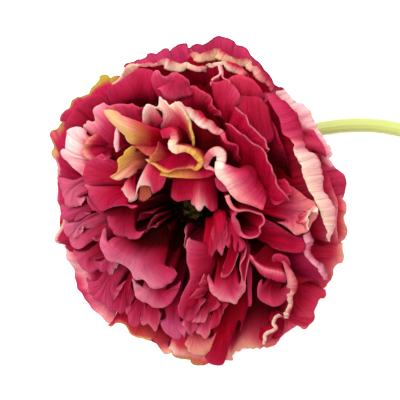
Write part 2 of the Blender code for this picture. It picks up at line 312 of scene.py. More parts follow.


# The places of all petals are read off the photograph.

# Guard petals: the outermost, whose rims are the flower's outline, and the ones just behind them
GUARDS = [
    petal("crest", claw=66, leave=10, crumple=0.5, ribs=0.3, calm=0.01, columns=96, band=0.9, pale=-0.55,
          mauve=0.9,
          rim=[(190, 47, 4), (197, 43.5, 4), (203, 44.5, 4), (209, 41, 4), (213, 38, 5), (218, 36.3, 5),
               (223, 36.3, 5), (229, 38, 5), (233, 40, 5), (237, 45, 5), (244, 46.5, 5), (247, 48.5, 5),
               (250, 54, 6), (255, 59, 6), (260, 63, 6), (264, 69, 6), (268, 73, 6), (272, 79, 7),
               (275, 85, 7), (280, 87, 7), (285, 89, 8)],
          inner=[[(196, 62, 6), (215, 60, 5), (235, 66, 6), (252, 76, 8), (262, 90, 9), (270, 96, 10)]]),
    petal("scallops", claw=98, leave=8, crumple=0.6, ribs=0.2, calm=0.01, columns=96, band=0.9, pale=-0.5,
          mauve=1,
          rim=[(124, 66, 6), (127, 63, 6), (130, 63, 6), (135, 61, 6), (138, 59, 6), (145, 58, 5),
               (147, 57, 5), (148, 54, 5), (151, 53, 5), (157, 53, 5), (159, 51, 4), (163, 49.5, 4),
               (168, 49, 4), (169, 51, 4), (172, 49, 4), (176, 46, 4), (180, 44, 4), (187, 43.5, 4),
               (190, 47, 3), (197, 44, 3), (203, 45, 3)],
          inner=[[(135, 76, 9), (150, 68, 8), (168, 62, 7), (185, 58, 6), (205, 58, 6)]]),
    petal("top_left", claw=128, leave=12, ribs=0.15, columns=64, band=(1, 1, 1.4, 2, 3.2, 4.6, 3.6, 1.4),
          pale=(-0.2, -0.2, -0.2, 0, 0, 0, 0.1), gold=(-0.5, -0.6, -0.6, -0.8, -0.8, -0.9, -0.9, -0.3),
          mauve=0.5,
          rim=[(61, 121, 13), (62, 117, 13), (66, 113, 13), (70, 109, 13), (72, 103, 13), (74, 99, 12),
               (77, 96, 12), (82, 94.5, 11), (88, 93, 10), (92, 90, 10), (96, 87, 9), (98, 81, 8),
               (99, 76, 8), (102, 74, 8), (107, 74, 8), (110, 76.5, 9), (117, 76, 10), (122, 76, 11)],
          inner=[[(78, 124, 17), (84, 110, 16), (96, 100, 15), (106, 92, 14), (122, 90, 15)]]),
    petal("far_left", claw=158, leave=10, band=(1.6, 2.4, 4, 5.6, 5.6, 4.2, 1.6),
          pale=(0.8, 0.8, 0.6, 0.3, 0.2, 0.1), gold=(0.1, 0.2, -0.6, -0.9, 0.6, -0.7, 0.2), mauve=0.6,
          rim=[(58, 180, 14), (55, 171, 13), (55, 160, 12), (52, 153, 11), (53, 150, 11), (54, 145, 10),
               (51, 139, 10), (50, 132, 10), (52, 130, 10), (58, 129, 12), (60, 124, 13), (64, 118, 15)],
          inner=[[(72, 184, 17), (68, 168, 16), (64, 155, 15), (64, 142, 15), (68, 130, 17)]]),
    petal("left", claw=186, leave=8, band=(1, 0.8, 0.8, 0.9, 1.6, 3.4, 3, 2),
          pale=(0.6, 0.5, 0.6, 0.6, 0.9, 1, 0.8), gold=(0.1, 0.1, 0.2, 0.2, 0.4, 0.4, 0.2), mauve=0.6,
          rim=[(55, 171, 13), (57, 180, 13), (57, 190, 13), (59, 198, 12), (61, 206, 12), (62, 213, 11),
               (62, 219, 10), (60, 226, 9), (57, 232, 9), (56, 238, 8), (58, 242, 8), (63.4, 245.6, 8)],
          inner=[[(70, 172, 16), (70, 190, 15), (72, 210, 13), (70, 228, 11), (68, 244, 10)]]),
    petal("low_left", claw=212, leave=4,
          pale=[0.1, [0.8, 0.75, 0.75, 0.65, 0.5, 0.6, 0.4], [0.85, 0.9, 0.7, 0.25, 0.1, 0.4, 0.8, 0.7]],
          gold=[0, [0, 0.05, 0.05, 0, 0, 0, 0], [0, 0.1, 0.05, 0, 0, 0, 0.1, 0.1]], mauve=0.5,
          rim=[(63, 245, 8), (66, 250, 7), (68, 255, 7), (71, 260, 6), (73, 265, 6), (73.7, 272, 5),
               (74, 276, 5), (76, 281, 4), (79, 290.6, 4), (83, 295, 4), (87.7, 299, 3), (92.5, 306.4, 3),
               (98.6, 313.7, 3), (107, 322, 3), (110.8, 325, 3)],
          inner=[[(82, 248, 11), (90, 262, 10), (98, 280, 9), (106, 294, 8), (118, 306, 8)],
                 [(70, 250, 9), (76, 262, 8), (82, 272, 8), (88, 284, 7), (94, 298, 6), (104, 308, 6),
                  (114, 316, 6)]]),
    petal("low", claw=240, leave=2, pale=[0, [0.05, 0.1, 0.25, 0.6], [0.6, 0.5, 0.7, 0.8, 1, 1]],
          gold=[0, [0, 0, 0.1, 0.15, 0.1, 0], [0.2, 0.4, 0.8, 0.9, 0.7, 0.4]],
          dark=[[0.4, 0.5], [0.2, 0, 0, 0.1], 0],
          rim=[(108, 323, 3), (110.8, 325, 3), (116, 322, 2), (123, 325.8, 2), (130, 333.7, 2),
               (140, 336, 2), (149.6, 339.2, 2), (159.4, 345.3, 2), (169, 350, 3), (176, 354, 4)],
          inner=[[(124, 300, 10), (140, 312, 9), (160, 326, 8), (176, 334, 8)],
                 [(110, 321, 4.2), (118, 319, 3.6), (126, 324, 3.4), (134, 332, 3.3), (145, 335, 3.2),
                  (157, 341.5, 3.2), (170, 348, 3.8)]]),
    petal("bottom", claw=264, leave=2, pale=[0.2, [1, 0.8, 0.6, 0.6], [1, 0.4, 0.2, 0.2, 0.3]],
          gold=[0, [0, 0.2, 0.4, 0.3], [0, -0.8, -1, -0.7, 0.3]],
          rim=[(166, 349, 3), (169, 350, 3), (174.3, 354.3, 3), (179.3, 357, 4), (185.7, 359, 4),
               (190.7, 359.6, 4), (192, 362.9, 4), (195, 365, 4), (200.7, 365.7, 5), (208.6, 363.6, 6)],
          inner=[[(172, 336, 9), (184, 342, 9), (196, 344, 9), (208, 344, 10)],
                 [(170, 346, 5), (178, 351, 5), (188, 354, 5), (198, 357, 5), (208, 357, 6)]]),
    petal("bottom_right", claw=292, leave=4, crumple=0.6, ribs=0.2, columns=64,
          pale=[0, [0.15, 0.2, 0.3, 0.25, 0.2], [0.55, 0.6, 0.6, 0.4, 0.4], [0.6, 0.8, 0.8, 0.5, 0.4]],
          gold=[0, 0, [0.1, 0.2, 0.1, 0], [0, 0.3, 0.4, 0.2, 0]], mauve=[0.2, 0.3, 0, 0],
          dark=[0.8, 0.4, 0.05, 0],
          rim=[(225, 364, 5), (229.3, 360.7, 5), (232, 355, 6), (238.6, 350.7, 6), (248, 348.6, 6),
               (255.7, 347.5, 7), (260, 348.6, 7), (263.6, 347, 7), (270, 347, 8), (275, 345, 8),
               (281, 338, 9)],
          inner=[[(236, 328, 13), (246, 312, 14), (256, 302, 14), (266, 300, 14), (274, 306, 14)],
                 [(228, 346, 10.5), (240, 334, 11.5), (254, 326, 12), (268, 326, 12), (276, 328, 12)],
                 [(226, 356, 8), (236, 346, 9), (248, 341, 10), (260, 340, 10), (272, 338, 10)]]),
    petal("behind_left", claw=200, leave=4, arrive=8, calm=0.12, band=2, pale=0.2,
          rim=[(60, 214, 9), (60, 228, 8), (64, 242, 7), (70, 256, 6), (78, 270, 5), (84, 282, 5)]),
    petal("behind_right", claw=335, leave=4, arrive=8, calm=0.12, band=2, pale=0.2,
          rim=[(338, 230, 9), (337, 246, 9), (331, 262, 8), (322, 276, 8), (320, 290, 8), (313, 303, 7)]),
    petal("behind_low_right", claw=308, leave=4, arrive=8, calm=0.12, band=2, pale=0.2,
          rim=[(320, 292, 8), (311, 306, 7), (305, 318, 7), (296, 326, 7), (284, 334, 7), (275, 342, 6),
               (264, 345.5, 6), (252, 345, 6)]),
    petal("behind_low", claw=250, leave=2, arrive=4, calm=0.12, band=2, pale=0.1,
          rim=[(146, 336, 1), (158, 342, 1), (170, 349, 1), (184, 356, 1), (198, 361, 1), (214, 361, 2),
               (224, 356, 2)]),
    petal("low_right", claw=318, leave=6, pale=[0.1, [0.25, 0.3, 0.45, 0.4], [0.4, 0.35, 0.5, 0.4]],
          dark=[[0.1, 0.2, 0.1, 0.1], 0, 0],
          rim=[(326, 288, 12), (326, 295, 11), (322, 300, 10), (318, 306, 10), (313, 313, 9), (313, 320, 9),
               (309, 324, 8), (303, 329, 8), (300, 328, 8), (297, 325, 8), (294, 327, 8), (287, 332, 8),
               (281, 337, 9)],
          inner=[[(304, 284, 12), (300, 298, 11), (296, 308, 11), (284, 318, 11)],
                 [(318, 288, 12.5), (314, 302, 11), (302, 318, 10.5), (284, 327, 10)]]),
    petal("right_low", claw=342, leave=8, pale=[0.1, 0.25, [0.8, 0.8, 0.6, 0.4, 0.4]],
          gold=[0, 0, [0.2, 0.2, 0.1, 0]],
          rim=[(343, 243, 10), (343, 250, 10), (344, 256, 9), (343, 259, 9), (338, 264, 9), (333, 269, 9),
               (331, 274, 9), (330, 278, 9), (328, 281, 10), (326, 288, 10), (324, 296, 11)],
          inner=[[(312, 240, 14), (312, 256, 14), (304, 270, 14), (298, 284, 13)],
                 [(334, 242, 12), (332, 254, 12), (322, 266, 12), (316, 282, 12)]]),
    petal("right", claw=2, leave=8, pale=[0, [0.2, 0.2, 0.15, 0.05], [0.5, 0.5, 0.75, 0.65, 0.75, 0.5]],
          gold=[0, 0, [0, 0.1, 0.25, 0.1]],
          rim=[(344, 176, 7), (346, 183, 7), (346, 187, 7), (344, 193, 8), (343, 198, 8), (346, 203, 8),
               (345, 210, 8), (343, 218, 8), (344, 222, 9), (347, 228, 9), (347, 235, 9), (346, 240, 9),
               (343, 243, 10), (343, 250, 10)],
          inner=[[(324, 176, 12), (328, 200, 12), (328, 226, 12), (328, 250, 13)],
                 [(336, 178, 9), (337, 200, 9.5), (337, 224, 10.5), (336, 246, 12)]]),
    petal("right_high", claw=16, leave=10, pale=[0.1, [0.65, 0.3, 0.2]], mauve=[0.3, 0.5],
          rim=[(328, 156, 8), (330, 162, 8), (335, 168, 8), (340, 171, 7), (344, 176, 7), (346, 183, 7),
               (346, 190, 7), (344, 198, 8)],
          inner=[[(312, 160, 13), (316, 172, 12), (324, 184, 12), (330, 198, 12)]]),
    petal("ribbed_band", claw=40, leave=14, pull=0.5, crumple=0.5, ribs=0.3, columns=96,
          pale=[0, [0.9, 0.75, 0.55], 1], mauve=[0, 0.5, 0.6], dark=[0.5, 0, 0],
          rim=[(276, 86, 6), (281, 87, 5), (287, 91, 5), (291, 95, 4), (295, 100, 4), (300, 104, 4),
               (305, 108, 4), (309, 112, 4), (313, 117, 4), (316, 121, 4), (318, 124, 5), (320, 129, 5),
               (323, 134, 6), (325, 140, 6), (328, 147, 7), (329, 152, 7), (328, 158, 8), (330, 162, 9),
               (335, 168, 9), (340, 171, 8)],
          inner=[[(258, 98, 5), (264, 104, 5), (272, 110, 5), (280, 118, 4), (288, 126, 4), (295, 134, 4),
                  (301, 142, 5), (307, 152, 6), (312, 164, 7), (318, 178, 8)],
                 [(268, 88, 9), (272, 92, 9), (277, 96, 9), (283, 103, 8), (292, 112, 8), (299, 120, 8),
                  (306, 128, 9), (316, 135, 9), (322, 146, 10), (326, 160, 11), (332, 172, 11)]]),
]

# Upper petals, whose inner faces show below their rims
UPPER = [
    petal("beige_top", claw=112, leave=20, ribs=0.15, pale=[0.3, [0.9, 1, 1, 0.9]],
          gold=[0.1, [0.2, 0.35, 0.3]],
          rim=[(112, 82, 15), (118, 79, 15), (122, 76, 15), (124, 71, 15), (126, 67, 15), (131, 64.5, 15),
               (138, 63, 15), (144, 66, 15)],
          inner=[[(124, 92, 13), (136, 84, 12), (150, 78, 12)]]),
    petal("peach_ruffle", claw=72, leave=20, crumple=0.7, ribs=0.15, calm=0.01, columns=96,
          roll=(3.4, 3, 3, 3.6, 3.8, 3.4, 2.4, 2.8, 3, 2, 3.2, 2.6, 1.8, 1.2),
          band=(4.6, 4.4, 4.6, 4.8, 3.8, 4.2, 3.6, 4, 3.4, 2.6, 2),
          pale=(0.6, 0.8, 0.9, 1, 1, 1, 1, 1, 0.9, 0.8, 0.7, 0.6, 0.5),
          gold=(0.1, 0.3, 0.55, 0.6, 0.6, 0.5, 0.35, 0.2, 0.1, 0, 0),
          rim=[(187, 57, 14), (190, 52.5, 14), (195, 52, 14), (200, 54, 14), (205, 52.5, 14),
               (211, 52.5, 14), (214, 50.5, 14), (220, 50, 14), (225, 51, 14), (230, 54, 14), (235, 57, 14),
               (240, 58.5, 14), (247, 59.5, 14), (250, 61, 14), (252, 65, 14), (257, 66, 14), (262, 71, 15),
               (267, 76, 15), (270, 81, 15), (273, 88, 16), (275, 92, 16)],
          inner=[[(200, 98, 8), (214, 100, 8), (235, 100, 8), (255, 102, 9), (272, 104, 10)]]),
    petal("cream_crescent", claw=94, leave=24, crumple=0.5, calm=0.01, columns=72,
          roll=(0.4, 0.6, 1.2, 1.2, 0.9, 1.6, 3, 3.6, 3.6, 3, 2, 1.7, 1.8, 1.8, 1.5),
          band=(1.6, 2.4, 2.4, 2.2, 4, 4.8, 4.6, 3.6, 3, 2.8),
          pale=(0.5, 0.7, 0.8, 0.6, 0.7, 1, 1, 1, 1, 0.9, 0.8, 0.8, 0.7),
          gold=(0.2, 0.2, 0.1, 0, 0, 0.2, 0.3, 0.3, 0.2, 0.1, 0), dark=[[0.5, 0.4, 0.4], 0],
          rim=[(134, 69, 18), (140, 65, 18), (147, 65, 17.5), (153, 65, 17.5), (157, 63, 17), (160, 60, 17),
               (165, 58.5, 17), (170, 58, 17), (174, 59, 17), (178, 62, 17), (181, 64.5, 17.5),
               (186, 65, 17.5), (193, 65, 18), (200, 65.5, 18), (208, 66.5, 18)],
          inner=[[(150, 84, 10), (170, 86, 9), (190, 88, 8), (210, 86, 9)]]),
    petal("second_ruffle", claw=70, leave=26, crumple=0.4, calm=0.01,
          roll=(0.4, 1.2, 1.5, 1, 1.4, 2.4, 3.2, 3.4, 3, 2.4, 0.8), band=(1.6, 2.4, 2.2, 2.2, 2.6, 3, 3, 2),
          pale=(1, 1, 1, 1, 0.9, 0.7, 0.5), gold=(0.3, 0.3, 0.2, 0.2, 0.1, 0),
          rim=[(204, 67.5, 19), (207, 65.5, 19), (210, 63.5, 19), (215, 62, 19), (222, 61.5, 19),
               (228, 61.5, 19.5), (233, 63, 20), (238, 66, 20), (243, 70, 20.5), (248, 76, 21)],
          inner=[[(208, 86, 12), (222, 88, 12), (238, 90, 13), (250, 94, 15)]]),
    petal("salmon_broad", claw=114, leave=24, crumple=1.1, ribs=0.1,
          pale=[0, [0, 0.05, 0], [0.05, 0.05, 0.1, 0.1, 0.1, 0.1]], mauve=[0, [0.4, 0.3], [0.5, 0.3]],
          dark=[0.6, [0.4, 0.2], [0.1, 0]],
          rim=[(106, 92, 20), (112, 86, 20), (120, 80, 20), (126, 76, 20), (133, 72, 20), (140, 68, 20),
               (148, 69, 20), (152, 70, 20), (157, 76, 20)],
          inner=[[(118, 114, 16), (130, 110, 15), (145, 107, 15), (156, 106, 16)],
                 [(112, 108, 22), (122, 102, 22), (130, 98, 22), (138, 92, 22), (146, 91, 22),
                  (156, 94, 22)]]),
    petal("hood", claw=96, leave=40, crumple=0.4, calm=0.01, pale=[0, 0.1, [0.35, 0.5, 0.4, 0.4, 0.3, 0.2]],
          mauve=[0.3, 0.3, 0.5],
          rim=[(152, 80, 25), (152.5, 74, 25), (155, 70.5, 25), (158, 70, 25), (160, 73, 25.5),
               (163, 77, 26), (168, 77, 26), (170, 74, 25.5), (173, 72, 25.5), (178, 73, 26), (184, 77, 27),
               (188, 82, 28), (191.5, 88, 28.5)],
          inner=[[(160, 101, 26), (172, 103, 27), (186, 101, 28), (192, 98, 28)],
                 [(153, 88, 26), (165, 88, 25), (178, 88, 26), (192, 92, 28)]]),
    petal("hood_low", claw=96, leave=50, ruffle=0.2, crumple=0.3, pale=[0.2, [0.5, 0.4, 0.4, 0.3]],
          mauve=[0.4, [0.4, 0.3]],
          rim=[(157, 89, 30), (160, 91, 30), (165, 97, 30), (170, 100, 30), (175, 100.5, 30),
               (180, 97.5, 30), (186, 97, 30), (191, 95, 30), (194, 93, 30)],
          inner=[[(162, 86, 30.5), (172, 87, 31.5), (184, 88, 31.5), (191, 89, 30.5)]]),
    petal("cup_back", claw=76, leave=48, ruffle=0.1, crumple=0.1, calm=0.01, tuck=0,
          roll=(0.3, 0.5, 0.7, 0.7, 0.5, 0.4, 0.3), band=1.6, pale=(0.7, 0.8, 0.9, 0.8, 0.6, 0.5, 0.5),
          rim=[(210, 84, 30), (212, 79, 29.5), (216.5, 76, 28.5), (219.5, 73, 28), (218.5, 68, 27),
               (217.5, 63, 26), (220.5, 65, 26), (223, 70, 27), (222.5, 75, 28), (224, 78.5, 29.5),
               (228, 80, 30), (230, 83, 30.5)],
          inner=[[(214, 96, 26), (220, 97, 26), (228, 96, 27)]]),
    petal("cup", claw=74, leave=50, ruffle=0.1, crumple=0.2, tuck=1,
          pale=[0, [0, 0.1, 0.1], [0.2, 0.2, 0.4, 0.4]], mauve=[0, 0.1, [0.2, 0.3]],
          dark=[0.3, [0.15, 0.05], [0.1, 0]],
          rim=[(211.5, 80, 30.5), (213, 81.5, 31), (218, 82, 31.5), (224, 80.5, 32), (230, 83, 31.5),
               (236, 88, 31.5), (240, 95, 31.5), (241, 102, 31)],
          inner=[[(222, 122, 29), (226, 123, 29), (234, 119, 29)],
                 [(214, 102, 30), (223, 105, 32), (236, 108, 31)]]),
    petal("crimson_top_a", claw=60, leave=44, ruffle=0.2, crumple=0.2,
          pale=[0.05, [0.3, 0.2, 0.3], [0, 0, 0.05]], mauve=0.15, dark=[0.3, 0, [0.1, 0.25, 0.2]],
          rim=[(231, 112, 31), (237, 120, 31), (244, 127, 31), (252, 132, 30), (260, 138, 29),
               (267, 143, 28), (272, 141, 27), (275, 132, 26)],
          inner=[[(238, 140, 22), (246, 142, 21), (256, 144, 21), (266, 142, 20)],
                 [(235, 98, 28.5), (246, 96, 29), (256, 98, 29), (268, 106, 28)]]),
    petal("crimson_bright", claw=66, leave=38, ruffle=0.2, crumple=0.3, columns=32,
          pale=[0.1, [0.4, 0.35, 0.3, 0.2]],
          rim=[(226, 84, 27), (230, 78, 27), (238, 75, 27), (247, 77, 26.5), (255, 82, 26), (261, 89, 25),
               (265, 98, 24)],
          inner=[[(236, 106, 24), (248, 106, 24), (260, 107, 23)]]),
    petal("crimson_top_b", claw=84, leave=44, crumple=0.6, pale=[0, [0, 0.05, 0], [0.3, 0.35, 0.3, 0.25]],
          dark=[0.2, [0, 0.05], 0],
          rim=[(187, 88, 30), (191, 86, 30), (196, 87, 30), (202, 90, 30), (207, 94, 30.5), (211, 99, 31),
               (215, 105, 31.5), (219, 112, 32), (222, 119, 33)],
          inner=[[(180, 108, 22), (195, 112, 22), (210, 118, 23), (222, 130, 25)],
                 [(188, 98, 27), (196, 102, 27), (206, 106, 28), (216, 118, 30)]]),
    petal("left_crimson", claw=134, leave=24, crumple=1.4, ribs=0.15, calm=0.03, pale=[0, [0.2, 0.15, 0.1]],
          mauve=[0.2, [0.4, 0.3]], dark=[0.4, [0.1, 0.3]],
          rim=[(64, 126, 23), (68, 118, 23), (74, 110, 22), (80, 104, 21), (88, 99, 20), (98, 96, 20),
               (108, 98, 21)],
          inner=[[(86, 134, 22), (92, 122, 21), (102, 112, 21), (112, 108, 22)]]),
    petal("pale_teeth", claw=158, leave=40, crumple=0.5, ribs=0.05, calm=0.01,
          pale=[0.1, [0.4, 0.8, 0.95, 0.7], [0.6, 0.8, 0.9, 1, 1, 0.9]],
          mauve=[0.3, [0.4, 0.3], [0.3, 0.5, 0.5]],
          rim=[(86, 180, 32), (84, 177, 32), (80, 173, 31.5), (75, 168, 31), (70, 164, 30.5), (65, 160, 30),
               (62, 156, 29.5), (61, 153, 29), (63, 149, 29), (67, 150, 29), (66, 143, 28.5), (65, 138, 28),
               (64, 133, 28), (66, 130, 28), (70, 128, 28), (76, 127.5, 28.5), (82, 128.5, 29),
               (87, 132, 30)],
          inner=[[(100, 182, 29), (98, 168, 28), (98, 152, 28), (100, 138, 29)],
                 [(90, 176, 31.5), (82, 164, 31), (78, 152, 31), (80, 140, 31), (88, 135, 31)]]),
    petal("mauve_teeth", claw=142, leave=44, crumple=0.6, ribs=0.1, calm=0.01,
          pale=[0, [0.35, 0.2, 0.05, 0], [0.8, 0.75, 0.75, 0.5, 0.35, 0.3]],
          mauve=[0.1, [0.6, 0.5, 0.3], [0.5, 0.5, 0.2]], dark=[0.4, [0, 0.1], 0],
          rim=[(82, 128, 31), (83, 125, 31), (86, 124, 31), (87, 121, 31), (92, 122, 31), (95, 121, 31),
               (94, 115, 31), (93, 110, 31), (95, 107, 31), (99, 105, 31), (103, 103, 31), (108, 104, 32),
               (115, 104, 33), (125, 105, 34), (135, 106, 35), (145, 105.5, 35)],
          inner=[[(112, 156, 29), (122, 148, 29), (136, 136, 31), (148, 124, 34)],
                 [(98, 140, 31), (106, 130, 31), (120, 120, 32), (142, 114, 34)]]),
    petal("gold_salmon", claw=152, leave=50, crumple=0.3, band=(2.4, 3, 3, 3, 3.4, 3.4, 3),
          pale=[0, [0.3, 0.5, 0.6, 0.7, 0.7, 0.6, 0.4]], gold=[0, [0.1, 0.3, 0.4, 0.3, 0.2, 0, 0]],
          mauve=0.3, dark=[0.5, 0],
          rim=[(99, 134, 34), (93, 135, 34), (88, 138, 34), (84, 144, 34), (82, 150, 34), (84, 155, 33.5),
               (89, 159.5, 33.5), (97, 160.5, 33.5), (105, 158.5, 34), (112, 156, 34)],
          inner=[[(110, 142, 31), (108, 146, 31), (108, 150, 31), (112, 152, 32)]]),
    petal("magenta_left", claw=166, leave=52, crumple=0.8, pale=[0, [0.3, 0.2, 0.35, 0.2]],
          mauve=[0.1, [0.4, 0.3]],
          rim=[(88, 184, 34), (84, 178, 34.5), (84, 170, 35), (87, 163, 35), (93, 159, 35), (104, 157, 35),
               (112, 160, 35)],
          inner=[[(118, 184, 32), (122, 174, 32), (124, 166, 32)]]),
    petal("sliver", claw=132, leave=62, width=0.3, ruffle=0.05, crumple=0.1, calm=0.01, tuck=0, columns=24,
          roll=(0.2, 1.2, 1.4, 1.8, 1.4, 0.2), band=3, pale=0.85, mauve=0.4,
          rim=[(117, 127, 40), (118, 133, 40.5), (118.5, 139, 40.5), (118.5, 145, 40.3), (117, 152, 39.5)],
          inner=[[(121, 132, 36), (123, 140, 36), (122, 148, 36)]]),
]

